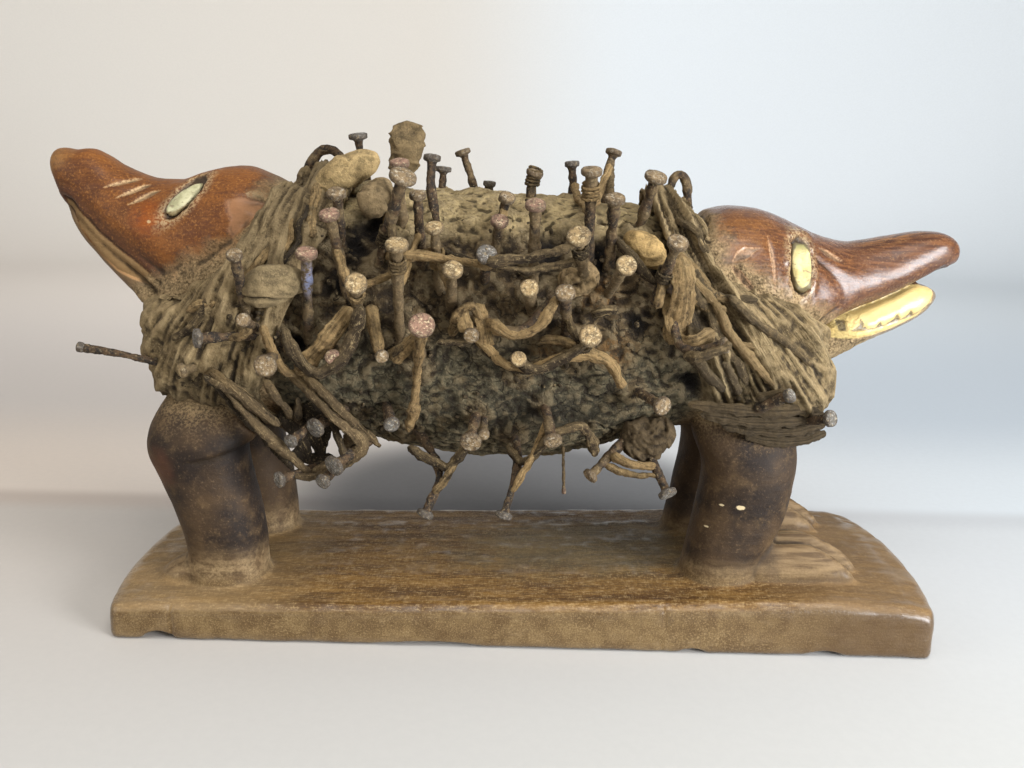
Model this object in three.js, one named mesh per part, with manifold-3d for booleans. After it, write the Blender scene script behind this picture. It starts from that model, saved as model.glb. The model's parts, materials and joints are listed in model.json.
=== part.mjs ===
// Nail-studded power figure of a dog with a head at each end, carved with its plinth from one block of wood.
// The eyes are let into the wood. Rag collars, tied packets and hand-made nails are bound and driven into it.
// Millimetres. X runs along the body, Y from the front (minus) to the back, Z is up.
// The origin is the centre of the plinth's underside.

import * as THREE from 'three';
import { mergeVertices } from 'three/addons/utils/BufferGeometryUtils.js';
import Module from 'manifold-3d';

const wasm = await Module();
wasm.setup();

// Driving dimensions
const gap = 0.3;
const plinthHalfLength = 206;
const plinthHalfDepth = 68;
const plinthEndBow = 7;
const plinthDome = 3;
const plinthEdgeRound = 4;
const legOffset = 32;
const rootDepth = 5;
const headThickness = 2.6;
const lashingHeight = 0.55;
const lashingSag = 3;
const lashingRadius = 1.8;
const eyeSink = 1.2;

// Fullness of the sections: 2 is an ellipse, and more is squarer
const bodyFullness = 2.2;
const headFullness = 2.4;

const bodySides = 16;
const headSides = 12;
const jawSides = 8;
const legSides = 8;
const toeSides = 6;
const collarSides = 16;
const packetSides = 7;
const nailSides = 5;
const cordSides = 4;

// Height of the plinth's top edge along its length: x, edge height
const plinthEdge = [
  [-206, 17], [-190, 19], [-140, 20], [-50, 22], [50, 25], [155, 29], [192, 27], [206, 24],
];

// Chips in the lower front edge: x, half length, height, depth
const plinthChips = [[-181, 8, 5, 16], [-46, 27, 2.6, 7], [87, 7, 3.2, 5], [153, 9, 3.4, 6]];

// Sections of the trunk and heads across X: x, top, underside, half width, narrowing towards the top
const trunkRows = [
  [-192, 168, 128, 16, 0], [-184, 187, 112, 34, 0], [-162, 207, 102, 45, 0],
  [-119, 221, 95, 53, 0], [-88, 223, 93, 54, 0], [-56, 223, 87, 54, 0], [-26, 222, 83, 54, 0],
  [4, 221, 83, 54, 0], [32, 219, 88, 53, 0], [58, 216, 97, 53, 0], [84, 212, 102, 52, 0],
  [116, 203, 105, 46, 0], [140, 180, 115, 29, 0], [149, 160, 132, 12, 0],
];
const leftHeadRows = [
  [-246.5, 235, 228, 4, 0], [-244, 238.5, 223, 8, 0], [-240, 240, 214, 11, 0], [-233, 239, 208, 14, 0],
  [-226, 240, 203, 16, 0.1], [-219, 237.5, 198, 18, 0.15], [-211, 232.5, 192, 21, 0.2],
  [-201, 228, 185, 25, 0.2], [-190, 225.5, 178, 29, 0.2], [-179, 225.5, 171, 32.5, 0.18],
  [-168, 229, 162, 36, 0.16], [-157, 232, 150, 39, 0.15], [-146, 233, 138, 42, 0.12],
  [-133, 229, 125, 45, 0.1], [-120, 222, 115, 47, 0.1],
];
const leftJawRows = [
  [-239.5, 217, 212, 4, 0], [-236, 214, 204, 9, 0], [-230, 209, 194, 13.5, 0], [-221, 202, 184.5, 17.5, 0],
  [-211, 194, 175, 21.5, 0], [-201, 187, 166, 25.5, 0], [-190, 179, 154, 30, 0], [-176, 168, 140, 34, 0],
  [-160, 156, 126, 38, 0],
];
const rightHeadRows = [
  [223.5, 197.5, 191.5, 3, 0], [222, 201, 190.5, 7, 0], [219, 204, 189.5, 10, 0], [213, 206.5, 187, 13, 0],
  [206, 207, 184, 15, 0.1], [197, 206, 179, 17, 0.15], [186, 204, 173.5, 19, 0.2],
  [175, 202, 169, 21, 0.2], [165, 200.5, 165, 24, 0.2], [156, 202, 160, 27.5, 0.18],
  [147, 205, 154, 31, 0.16], [138, 209, 147, 35, 0.15], [128, 213.5, 138, 39, 0.12],
  [117, 217, 128, 43, 0.1], [104, 218, 118, 46, 0.1], [90, 215, 112, 47, 0.1],
];
const rightJawRows = [
  [214.5, 176, 171.5, 4, 0], [210, 178.5, 166, 9, 0], [204, 180, 161, 12, 0], [197, 178.5, 157, 14, 0],
  [188, 174, 153, 16.5, 0], [178, 170, 149, 19, 0], [167, 166, 143.5, 22, 0], [155, 160.5, 137.5, 26, 0],
  [143, 152, 130, 31, 0], [128, 144, 124, 26, 0],
];

// Sections of the legs across Z: z, x of the centre, half length along X, half width along Y, shift inwards
const leftLegRows = [
  [16, -156, 23, 20, 0], [34, -155, 20.5, 19, 0], [58, -158.5, 22, 20.5, 0],
  [80, -164.5, 24.5, 21, 0], [90, -166.5, 26, 23, 0], [105, -163, 27.5, 22, 3], [126, -152, 27, 15, 12],
];
const rightLegRows = [
  [18, 105, 23, 20, 0], [38, 106, 20.5, 19, 0], [58, 112, 23, 20, 0],
  [88, 116, 23.5, 21.5, 0], [104, 113, 26, 20, 3], [124, 106, 26, 14, 12],
];

// Feet, as ridges along X for the toes: x, height of the ridge, half width
const leftFoot = {
  toes: 1,
  start: -160,
  rows: [[-164, 36, 17], [-176, 32, 16], [-186, 27, 13], [-192, 22, 8]],
};
const rightFoot = {
  toes: 3,
  start: 112,
  rows: [[122, 50, 8], [146, 52, 7.5], [164, 45, 6.5], [174, 37, 5.5], [179, 30, 3.5]],
};
const toePitch = 11;
const footFloor = 18;

// Eyes let into the flanks of the heads: place in the side view, half sizes, turn in that view
const eyes = {
  left_head: { rows: leftHeadRows, x: -167.5, z: 217, half: [12.5, 3.2, 4.8], turn: 0.75 },
  right_head: { rows: rightHeadRows, x: 134, z: 191, half: [5.2, 3.4, 11], turn: 0.02 },
};

// Notches that part the painted teeth of the right jaw: x, height of the notch's foot, size
const toothNotches = [
  [162, 157.5, 3.4], [171, 158.5, 3.8], [181, 161, 3.8], [190, 164.5, 4], [199, 169, 4], [206, 173, 3.2],
];
const toothNotchDepth = 4;

// Rag collars: outer sections across X, then the slanting edges, with two runs towards the head
const leftCollarRows = [
  [-199, 152, 134, 14, 0], [-193, 174, 117, 35, 0], [-182, 193, 109, 48, 0], [-168, 206, 105, 55, 0],
  [-152, 218, 101, 59, 0], [-136, 228, 99, 61.5, 0], [-120, 232, 98, 63, 0], [-104, 233, 98, 63, 0],
  [-88, 233, 98, 63, 0], [-72, 232, 98, 63, 0],
];
const leftCollarCuts = {
  head: [{ from: [-119, 230], to: [-137, 194], side: -1 }, { from: [-137, 194], to: [-199, 163], side: -1 }],
  trunk: { from: [-78, 236], to: [-140, 100], side: 1 },
};
const rightCollarRows = [
  [48, 226, 100, 62, 0], [64, 226, 100, 62, 0], [80, 224, 100, 62, 0], [96, 221, 100, 61, 0],
  [112, 215, 98, 59, 0], [127, 205, 96, 56, 0], [140, 191, 96, 51, 0],
  [151, 172, 98, 42, 0], [158, 152, 104, 26, 0], [160, 140, 114, 12, 0],
];
const rightCollarCuts = {
  head: [{ from: [84, 216], to: [91, 191], side: 1 }, { from: [91, 191], to: [158, 157], side: 1 }],
  trunk: { from: [56, 228], to: [92, 96], side: -1 },
};
const foldPitch = 23;
const foldHeight = 7;

// Tied packets: centre line from end to end, radius at the ends, radius at the middle
const packets = {
  cloth_roll: { line: [[-104, -26, 223], [-89, -27, 231], [-74, -24, 239]], ends: 6, middle: 9 },
  knotted_packet: { line: [[-63, -18, 230], [-60, -18, 243], [-57, -16, 255]], ends: 7.5, middle: 9.5 },
  rounded_packet: { line: [[-77, -40, 209], [-73, -37, 218], [-71, -30, 227]], ends: 5, middle: 8 },
  folded_packet: { line: [[-131, -66, 175], [-117, -68, 180], [-102, -66, 184]], ends: 6.5, middle: 9 },
  fibre_knot: { line: [[15, -53, 179], [24, -52, 183], [33, -50, 187]], ends: 5.5, middle: 8 },
  ochre_packet: { line: [[46, -43, 204], [55, -47, 198], [65, -48, 191]], ends: 5, middle: 7.5 },
  hanging_lump: { line: [[51, -35, 97], [62, -38, 103], [76, -40, 109]], ends: 7.5, middle: 11 },
};

// Nails: name, or the name of the lashed set they belong to; shank radius, head radius;
// then the foot where the shank leaves the body, any bends, and the middle of the head
const nails = [
  ['crown_nail_rear', 2.2, 4.7, [-84, -8, 226], [-86, -12, 249]],
  ['arched_nail_left', 2.6, 2.7,
    [-120, 8, 222], [-114, 8, 237], [-107, 8, 243], [-99, 8, 240], [-94, 8, 226]],
  ['lashed_crown_nails', 2.8, 6.2, [-71, -48, 187], [-55, -74, 230]],
  ['lashed_crown_nails', 2.6, 5.2, [-60, -54, 153], [-57, -82, 201]],
  ['lashed_crown_nails', 2.5, 3.9, [-50, -48, 184], [-50, -64, 222]],
  ['crown_nail_front', 2.4, 4.6, [-60, -38, 206], [-60, -50, 236]],
  ['bent_crown_nail', 2.4, 4.2, [-43, -40, 205], [-47, -40, 224], [-46, -38, 239]],
  ['small_crown_nail', 2.2, 4.2, [-46, 10, 221], [-45, 10, 234]],
  ['leaning_crown_nail', 2.2, 4.2, [-27, 20, 216], [-32, 20, 232], [-36, 20, 243]],
  ['low_crown_nail', 2.2, 3.4, [-22, 18, 217], [-21, 18, 227]],
  ['lashed_middle_nails', 2.4, 4.2, [-16, -44, 190], [-13, -60, 211]],
  ['lashed_middle_nails', 2.4, 4, [-14, -32, 208], [-10, -42, 221]],
  ['string_wrapped_nail', 2.4, 4.4, [1, -5, 211], [1, -5, 224], [3, -7, 233]],
  ['tall_middle_nail', 3, 4.7, [3, -49, 178], [3, -71, 219]],
  ['lashed_right_crown_nails', 2.4, 3.8, [24, 5, 214], [22, 5, 238]],
  ['lashed_right_crown_nails', 3, 4.9, [29, -44, 191], [28, -60, 234]],
  ['lashed_right_crown_nails', 2.4, 4.2, [39, -6, 210], [39, -4, 229], [43, -2, 244]],
  ['lashed_right_crown_nails', 2.8, 4.7, [39, -44, 191], [39, -60, 222]],
  ['flared_nail', 2.6, 5.4, [53, -30, 203], [59, -46, 232]],
  ['arched_nail_right', 2.4, 2.5, [70, 0, 208], [73, 0, 230], [78, 0, 234], [82, 0, 227], [83, 0, 206]],
  ['leaning_right_nail', 2.8, 4.9, [60, -51, 172], [66, -76, 204]],
  ['corded_nails', 2.6, 5.5, [28, -49, 178], [22, -79, 206]],
  ['corded_nails', 2.6, 4.7, [-20, -51, 181], [-18, -77, 197]],
  ['bright_headed_nail', 2.4, 4.7, [38, -50, 176], [43, -84, 194]],
  ['blunt_front_nail', 2.8, 4.2, [3, -50, 166], [1, -82, 183]],
  ['lashed_right_flank_nails', 2.6, 4.6, [20, -52, 155], [17, -78, 181]],
  ['lashed_right_flank_nails', 2.6, 5.2, [24, -52, 147], [29, -80, 162]],
  ['lashed_right_flank_nails', 2.2, 3.7, [-3, -52, 138], [-3, -76, 150]],
  ['lashed_left_flank_nails', 2.6, 4.7, [-36, -52, 168], [-33, -76, 190]],
  ['lashed_left_flank_nails', 2.4, 4.3, [-41, -52, 178], [-42, -70, 208]],
  ['lashed_shoulder_nails', 2.6, 5, [-80, -54, 167], [-74, -88, 184]],
  ['lashed_shoulder_nails', 2.8, 4.7, [-85, -54, 178], [-88, -74, 213]],
  ['shoulder_nail', 2.4, 4.4, [-88, -45, 195], [-87, -62, 222]],
  ['collar_nail_upper', 2.6, 5, [-103, -56, 157], [-98, -76, 196]],
  ['collar_nail_left', 2.6, 3.7, [-131, -58, 163], [-129, -80, 195]],
  ['collar_nails_crossed', 2.2, 3.2, [-124, -60, 157], [-126, -82, 166]],
  ['collar_nails_crossed', 2.4, 4.6, [-122, -58, 155], [-150, -76, 156]],
  ['collar_nail_low', 2.6, 5.2, [-118, -56, 148], [-117, -82, 145]],
  ['flank_nail_left', 2.2, 3.7, [-90, -48, 150], [-88, -74, 148]],
  ['knotted_hanging_nails', 2.6, 5, [-86, -38, 117], [-101, -60, 110]],
  ['knotted_hanging_nails', 2.6, 5.3, [-80, -50, 99], [-91, -66, 93]],
  ['knotted_hanging_nails', 2.4, 3.8, [-88, -46, 92], [-97, -64, 84]],
  ['knotted_hanging_nails', 2.4, 4, [-106, -50, 86], [-119, -62, 84]],
  ['outward_nail_left', 2, 2.6, [-168, -40, 132], [-190, -48, 141], [-216, -52, 146]],
  ['broad_headed_nail', 2.6, 6, [-51, -50, 141], [-46, -84, 166]],
  ['forked_hanging_nails_left', 2.4, 4.3, [-56, -36, 106], [-38, -54, 89], [-48, -58, 66]],
  ['forked_hanging_nails_left', 2.4, 5.2, [-23, -44, 118], [-25, -68, 107]],
  ['forked_hanging_nails_right', 2.4, 4.3, [-5, -40, 106], [-1, -54, 93], [-9, -60, 67]],
  ['forked_hanging_nails_right', 2.4, 4.5, [9, -46, 126], [14, -70, 109]],
  ['lump_nails', 2.4, 4, [48, -42, 99], [33, -52, 86]],
  ['lump_nails', 2.4, 4.7, [64, -42, 95], [72, -56, 79]],
  ['flank_nail_right', 2.4, 4.7, [52, -46, 131], [65, -68, 127]],
  ['collar_nail_dark', 2.4, 3.4, [109, -54, 122], [124, -68, 134]],
  ['outward_nail_right', 2.2, 4.2, [134, -36, 112], [148, -56, 120]],
  ['bent_front_nail', 2.8, 3.4, [-22, -50, 167], [-13, -70, 161], [0, -72, 161], [13, -68, 178]],
  ['elbow_nail', 2.6, 3.7, [67, -52, 181], [70, -66, 151], [91, -74, 158]],
];

// The back carries plainer nails in lashed sets: middle of each set along X, height of the feet
const backSets = [
  ['back_nails_shoulder', -66, 186], ['back_nails_middle_left', -30, 150],
  ['back_nails_middle_right', 8, 186], ['back_nails_flank', 38, 140],
];
const backNailPitch = 15;
const backNailReach = [24, 32, 26];
for (const [set, middle, height] of backSets) {
  backNailReach.forEach((reach, k) => {
    const x = middle + (k - 1) * backNailPitch;
    const foot = height + (k - 1) * 5;
    nails.push([set, 2.5, 4.6, [x, 42, foot], [x + 2 * (k - 1), 50 + reach, foot + reach * 0.8]]);
  });
}

// Mud-stiffened strips and cords that join the nails of a set: set, radius, points
const strips = [
  ['corded_nails', 2, [-18, -77, 193], [-2, -74, 195], [10, -76, 198], [22, -79, 201]],
  ['lashed_right_flank_nails', 2.2, [-3, -70, 147], [6, -70, 142], [16, -68, 148], [27, -72, 158]],
  ['knotted_hanging_nails', 2.2, [-152, -54, 135], [-132, -62, 112], [-108, -52, 87]],
  ['knotted_hanging_nails', 2.6,
    [-106, -46, 134], [-90, -60, 116], [-76, -54, 104], [-82, -50, 95], [-106, -50, 86]],
  ['forked_hanging_nails_left', 2.2, [-38, -54, 89], [-31, -56, 94], [-25, -58, 111]],
  ['forked_hanging_nails_right', 2.2, [-1, -54, 93], [5, -56, 98], [13, -64, 113]],
  ['lump_nails', 2.4, [44, -45, 96], [54, -51, 92], [66, -46, 91]],
];

// Small vector helpers
const vector = (p) => new THREE.Vector3(p[0], p[1], p[2]);
const mix = (a, b, t) => a + (b - a) * t;
const signedPower = (value, power) => Math.sign(value) * Math.abs(value) ** power;

function readTable(table, x) {
  let i = 0;
  while (i < table.length - 2 && x > table[i + 1][0]) {
    i += 1;
  }
  const t = (x - table[i][0]) / (table[i + 1][0] - table[i][0]);
  return mix(table[i][1], table[i + 1][1], t);
}

// A closed skin through rings of equal count, with a fan over each end
function skinRings(rings) {
  const count = rings[0].length;
  const positions = [];
  const triangles = [];
  const push = (p) => {
    positions.push(p.x, p.y, p.z);
    return positions.length / 3 - 1;
  };
  const rows = rings.map((ring) => ring.map(push));
  for (let r = 0; r < rows.length - 1; r += 1) {
    for (let i = 0; i < count; i += 1) {
      const j = (i + 1) % count;
      triangles.push([rows[r][i], rows[r][j], rows[r + 1][j]]);
      triangles.push([rows[r][i], rows[r + 1][j], rows[r + 1][i]]);
    }
  }
  const lastRow = rows[rows.length - 1];
  for (let i = 1; i < count - 1; i += 1) {
    triangles.push([rows[0][0], rows[0][i + 1], rows[0][i]]);
    triangles.push([lastRow[0], lastRow[i], lastRow[i + 1]]);
  }
  const geometry = new THREE.BufferGeometry();
  geometry.setAttribute('position', new THREE.Float32BufferAttribute(positions, 3));
  geometry.setIndex(triangles.flat());
  return geometry;
}

function signedVolume(positions, triangles) {
  const corner = (i) => new THREE.Vector3().fromArray(positions, 3 * triangles[i]);
  let sum = 0;
  for (let i = 0; i < triangles.length; i += 3) {
    sum += corner(i).dot(corner(i + 1).cross(corner(i + 2)));
  }
  return sum;
}

// A closed solid, turned outwards when its triangles wind inwards
function toSolid(geometry) {
  const bare = geometry.clone();
  bare.deleteAttribute('normal');
  bare.deleteAttribute('uv');
  const merged = mergeVertices(bare, 1e-4);
  const positions = Float32Array.from(merged.attributes.position.array);
  const triangles = Uint32Array.from(merged.index.array);
  if (signedVolume(positions, triangles) < 0) {
    for (let i = 0; i < triangles.length; i += 3) {
      const keep = triangles[i];
      triangles[i] = triangles[i + 1];
      triangles[i + 1] = keep;
    }
  }
  const mesh = new wasm.Mesh({ numProp: 3, vertProperties: positions, triVerts: triangles });
  return new wasm.Manifold(mesh);
}

const joinAll = (solids) => solids.reduce((sum, solid) => sum.add(solid));

function largestPiece(solid) {
  const pieces = solid.decompose();
  return pieces.reduce((best, piece) => (piece.volume() > best.volume() ? piece : best));
}

// Rounded sections across X, grown by a margin and by a fold function where one is given
function loftAlongX(rows, sides, fullness, grow = 0, fold = () => 0) {
  const direction = Math.sign(rows[rows.length - 1][0] - rows[0][0]);
  const rings = rows.map(([x, top, bottom, halfWidth, narrowing], r) => {
    const reach = r === 0 ? -direction * grow : (r === rows.length - 1 ? direction * grow : 0);
    const middle = (top + bottom) / 2;
    const halfHeight = (top - bottom) / 2;
    return Array.from({ length: sides }, (_, i) => {
      const angle = (2 * Math.PI * i) / sides;
      const across = signedPower(Math.cos(angle), 2 / fullness);
      const up = signedPower(Math.sin(angle), 2 / fullness);
      const width = halfWidth * (1 - narrowing * up);
      const extra = grow + fold(x, middle + halfHeight * up);
      return new THREE.Vector3(x + reach, (width + extra) * across, middle + (halfHeight + extra) * up);
    });
  });
  return toSolid(skinRings(rings));
}

function legSolid(rows, side, grow) {
  const rings = rows.map(([z, x, halfLength, halfWidth, shift], r) => {
    const reach = r === rows.length - 1 ? grow : 0;
    return Array.from({ length: legSides }, (_, i) => {
      const angle = (2 * Math.PI * i) / legSides;
      return new THREE.Vector3(
        x + (halfLength + grow) * Math.cos(angle),
        side * (legOffset - shift) + (halfWidth + grow) * Math.sin(angle),
        z + reach,
      );
    });
  });
  return toSolid(skinRings(rings));
}

// Rings of a round bar along points, square to the path; radii has one value for each point
function barRings(points, radii, sides) {
  const path = points.map(vector);
  let side = new THREE.Vector3(0.31, 0.52, 0.8);
  return path.map((point, i) => {
    const before = path[Math.max(i - 1, 0)];
    const after = path[Math.min(i + 1, path.length - 1)];
    const along = after.clone().sub(before).normalize();
    side = side.clone().addScaledVector(along, -side.dot(along)).normalize();
    const other = along.clone().cross(side);
    return Array.from({ length: sides }, (_, k) => {
      const angle = (2 * Math.PI * k) / sides;
      return point.clone()
        .addScaledVector(side, radii[i] * Math.cos(angle))
        .addScaledVector(other, radii[i] * Math.sin(angle));
    });
  });
}

const bar = (points, radii, sides) => toSolid(skinRings(barRings(points, radii, sides)));

// Plinth: flat below, domed above, bowed at the ends
function plinthSolid() {
  const ends = [-1, -0.985, -0.85, -0.5, 0, 0.5, 0.85, 0.985, 1];
  const outline = (edge, inset) => {
    const half = plinthHalfDepth - inset;
    const crown = edge + plinthDome;
    return [
      [-half + 2, 0], [-half, 3], [-half, edge - plinthEdgeRound], [-half + plinthEdgeRound, edge],
      [-half * 0.5, crown - 0.5], [0, crown], [half * 0.5, crown - 0.5],
      [half - plinthEdgeRound, edge], [half, edge - plinthEdgeRound], [half, 3], [half - 2, 0], [0, 0],
    ];
  };
  const rings = ends.map((end) => {
    const x = end * plinthHalfLength;
    const endInset = Math.abs(end) > 0.99 ? 5 : 0;
    const edge = readTable(plinthEdge, x) - (Math.abs(end) > 0.99 ? 3 : 0);
    return outline(edge, endInset).map(([y, z]) => {
      const bow = plinthEndBow * (1 - (y / plinthHalfDepth) ** 2) * Math.abs(end) ** 3;
      return new THREE.Vector3(x + Math.sign(end) * bow, y, z);
    });
  });
  return toSolid(skinRings(rings));
}

// Worn hollows and chips along the lower front edge and the notch at the left
function chipSolids() {
  return plinthChips.map(([x, halfLength, height, depth]) => {
    const chip = new THREE.SphereGeometry(1, 8, 5);
    chip.scale(halfLength, depth, height);
    chip.translate(x, -plinthHalfDepth, 0);
    return toSolid(chip);
  });
}

function footSolid(foot, side) {
  const toes = [];
  for (let k = 0; k < foot.toes; k += 1) {
    const spread = k - (foot.toes - 1) / 2;
    const rings = foot.rows.map(([x, top, halfWidth]) => {
      const reach = (x - foot.start) * (1 - 0.05 * Math.abs(spread));
      const centreY = side * legOffset + spread * toePitch * (0.75 + 0.0035 * Math.abs(x - foot.start));
      const height = top - footFloor - 2.5 * Math.abs(spread);
      return Array.from({ length: toeSides }, (_, i) => {
        const angle = (2 * Math.PI * i) / toeSides;
        return new THREE.Vector3(
          foot.start + reach,
          centreY + halfWidth * Math.cos(angle),
          footFloor + Math.max(Math.sin(angle), -0.2) * height,
        );
      });
    });
    toes.push(toSolid(skinRings(rings)));
  }
  return joinAll(toes);
}

// Everything that the collars, packets and nails sit on
function carcassSolid(grow) {
  return joinAll([
    loftAlongX(trunkRows, bodySides, bodyFullness, grow),
    loftAlongX(leftHeadRows, headSides, headFullness, grow),
    loftAlongX(leftJawRows, jawSides, bodyFullness, grow),
    loftAlongX(rightHeadRows, headSides, headFullness, grow),
    loftAlongX(rightJawRows, jawSides, bodyFullness, grow),
    ...[-1, 1].flatMap((side) => [legSolid(leftLegRows, side, grow), legSolid(rightLegRows, side, grow)]),
  ]);
}

// Distance of a head's flank from the middle plane, at a place in the side view
function flankAt(rows, x, z) {
  const sorted = [...rows].sort((a, b) => a[0] - b[0]);
  const [top, bottom, halfWidth, narrowing] = [1, 2, 3, 4].map(
    (column) => readTable(sorted.map((row) => [row[0], row[column]]), x),
  );
  const up = (2 * z - top - bottom) / (top - bottom);
  return halfWidth * (1 - narrowing * up) * (1 - Math.abs(up) ** headFullness) ** (1 / headFullness);
}

// An eye: a flattened lens that follows the lean of the flank and is sunk a little into it
function eyeSolid({ rows, x, z, half, turn }, side, grow) {
  const lean = Math.atan((flankAt(rows, x, z - 1) - flankAt(rows, x, z + 1)) / 2);
  const shape = new THREE.SphereGeometry(1, 8, 5);
  shape.scale(half[0] + grow, half[1] + grow, half[2] + grow);
  shape.rotateY(-turn);
  shape.rotateX(side * lean);
  const depth = flankAt(rows, x, z) - eyeSink * Math.cos(lean);
  shape.translate(x, side * depth, z - eyeSink * Math.sin(lean));
  return toSolid(shape);
}

function toothNotchSolids(side) {
  return toothNotches.map(([x, z, size]) => {
    const halfWidth = readTable(rightJawRows.map((row) => [row[0], row[3]]).reverse(), x);
    const wedge = new THREE.ConeGeometry(size * 0.6, size, 4);
    wedge.scale(1, 1, toothNotchDepth / size);
    wedge.rotateX(Math.PI / 2);
    wedge.translate(x, side * (halfWidth + toothNotchDepth * 0.2), z + size / 2);
    return toSolid(wedge);
  });
}

function figureSolid() {
  const whole = joinAll([
    plinthSolid(),
    carcassSolid(0),
    ...[-1, 1].flatMap((side) => [footSolid(leftFoot, side), footSolid(rightFoot, side)]),
  ]);
  const sockets = Object.values(eyes).flatMap((eye) => [eyeSolid(eye, -1, gap), eyeSolid(eye, 1, gap)]);
  const notches = [-1, 1].flatMap((side) => toothNotchSolids(side));
  return whole.subtract(joinAll([...sockets, ...notches, ...chipSolids()]));
}

// A big block whose one face lies along an edge line in the side view, used to cut a slanting edge
function cutBlock({ from, to, side }, grow) {
  const size = 400;
  const block = new THREE.BoxGeometry(size, size, size);
  const angle = Math.atan2(to[1] - from[1], to[0] - from[0]);
  block.translate(0, 0, side * (size / 2 + grow));
  block.rotateY(-angle);
  block.translate((from[0] + to[0]) / 2, 0, (from[1] + to[1]) / 2);
  return toSolid(block);
}

// Distance in the side view from an edge line, counted away from the side that is cut off
function clearOfEdge({ from, to, side }, x, z) {
  const length = Math.hypot(to[0] - from[0], to[1] - from[1]);
  return (side * ((x - from[0]) * (to[1] - from[1]) - (z - from[1]) * (to[0] - from[0]))) / length;
}

// Folds of the rag run along the edge towards the head
function collarSolid(rows, { head, trunk }, grow) {
  const fold = (x, z) => {
    const phase = Math.max(...head.map((edge) => clearOfEdge(edge, x, z))) / foldPitch;
    return foldHeight * (Math.abs(Math.cos(Math.PI * phase)) - 0.6);
  };
  const mantle = loftAlongX(rows, collarSides, bodyFullness, grow, fold);
  const headSide = cutBlock(head[0], grow).intersect(cutBlock(head[1], grow));
  return mantle.subtract(headSide).subtract(cutBlock(trunk, grow));
}

function packetSolid({ line, ends, middle }, grow) {
  const curve = new THREE.CatmullRomCurve3(line.map(vector));
  const steps = 5;
  const points = Array.from({ length: steps + 1 }, (_, i) => curve.getPoint(i / steps).toArray());
  const radii = points.map((_, i) => mix(ends, middle, Math.sin((Math.PI * i) / steps)) + grow);
  radii[0] *= 0.6;
  radii[steps] *= 0.6;
  return bar(points, radii, packetSides);
}

// A nail: shank from inside the body through its bends, then the neck and the flared head
function nailSolid([, shank, head, ...points]) {
  const path = points.map(vector);
  const foot = path[0];
  const tip = path[path.length - 1];
  const bends = path.slice(1, -1);
  const inward = foot.clone().sub(path[1]).normalize();
  const outward = tip.clone().sub(path[path.length - 2]).normalize();
  const line = [
    foot.clone().addScaledVector(inward, rootDepth),
    ...bends,
    tip.clone().addScaledVector(outward, -headThickness),
    tip,
  ];
  const radii = [shank, ...bends.map(() => shank), shank, head];
  return bar(line.map((p) => p.toArray()), radii, nailSides);
}

function stripSolid([, radius, ...points]) {
  return bar(points, points.map(() => radius), cordSides);
}

// The lashing between two neighbouring nails of a set, from shank to shank
function lashingSolid(first, second) {
  const [from, to] = [first, second].map((nail) => {
    const [start, end] = nail.slice(-2).map(vector);
    return start.lerp(end, lashingHeight);
  });
  const sag = from.clone().lerp(to, 0.5).add(new THREE.Vector3(0, -1, -lashingSag));
  return stripSolid(['', lashingRadius, ...[from, sag, to].map((p) => p.toArray())]);
}

// Materials
const finishes = {
  wood: { color: 0x6b3a20, roughness: 0.45, metalness: 0 },
  eye: { color: 0xb9b58a, roughness: 0.6, metalness: 0 },
  rag: { color: 0x6e5c3c, roughness: 0.95, metalness: 0 },
  packet: { color: 0x7a6848, roughness: 0.95, metalness: 0 },
  iron: { color: 0x4a372b, roughness: 0.7, metalness: 0.6 },
};
const materials = Object.fromEntries(
  Object.entries(finishes).map(([name, look]) => [name, new THREE.MeshStandardMaterial(look)]),
);

function toMesh(name, solid, finish) {
  const { vertProperties, triVerts } = solid.getMesh();
  const geometry = new THREE.BufferGeometry();
  geometry.setAttribute('position', new THREE.Float32BufferAttribute(vertProperties, 3));
  geometry.setIndex(Array.from(triVerts));
  geometry.computeVertexNormals();
  const mesh = new THREE.Mesh(geometry, materials[finish]);
  mesh.name = name;
  return mesh;
}

// Assembly: each later piece is trimmed clear of what it lies on
const figure = new THREE.Group();
figure.add(toMesh('carved_figure', figureSolid(), 'wood'));
for (const [head, eye] of Object.entries(eyes)) {
  figure.add(toMesh(`${head}_eye_front`, eyeSolid(eye, -1, 0), 'eye'));
  figure.add(toMesh(`${head}_eye_back`, eyeSolid(eye, 1, 0), 'eye'));
}

const carcass = carcassSolid(gap);
const collars = [
  ['left_rag_collar', leftCollarRows, leftCollarCuts],
  ['right_rag_collar', rightCollarRows, rightCollarCuts],
];
let ground = carcass;
for (const [name, rows, cuts] of collars) {
  figure.add(toMesh(name, largestPiece(collarSolid(rows, cuts, 0).subtract(carcass)), 'rag'));
  ground = ground.add(collarSolid(rows, cuts, gap));
}
let raised = ground;
for (const [name, packet] of Object.entries(packets)) {
  figure.add(toMesh(name, largestPiece(packetSolid(packet, 0).subtract(ground)), 'packet'));
  raised = raised.add(packetSolid(packet, gap));
}
for (const set of new Set(nails.map((nail) => nail[0]))) {
  const rows = nails.filter((nail) => nail[0] === set);
  const ties = strips.filter((strip) => strip[0] === set).map(stripSolid);
  const lashings = ties.length > 0 ? [] : rows.slice(1).map((row, i) => lashingSolid(rows[i], row));
  const members = [...rows.map(nailSolid), ...ties, ...lashings];
  figure.add(toMesh(set, largestPiece(joinAll(members).subtract(raised)), 'iron'));
}

export default figure;
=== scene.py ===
"""Looks of the nail-studded power figure of a dog with a head at each end.

Lengths are in millimetres, as in the part's source, and turn into metres when a mesh is made.
X runs along the body, Y from the front (minus) to the back, and Z is up.
"""

import json
import math

import bmesh
import bpy
import numpy as np
from mathutils import Matrix, Vector

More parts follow.
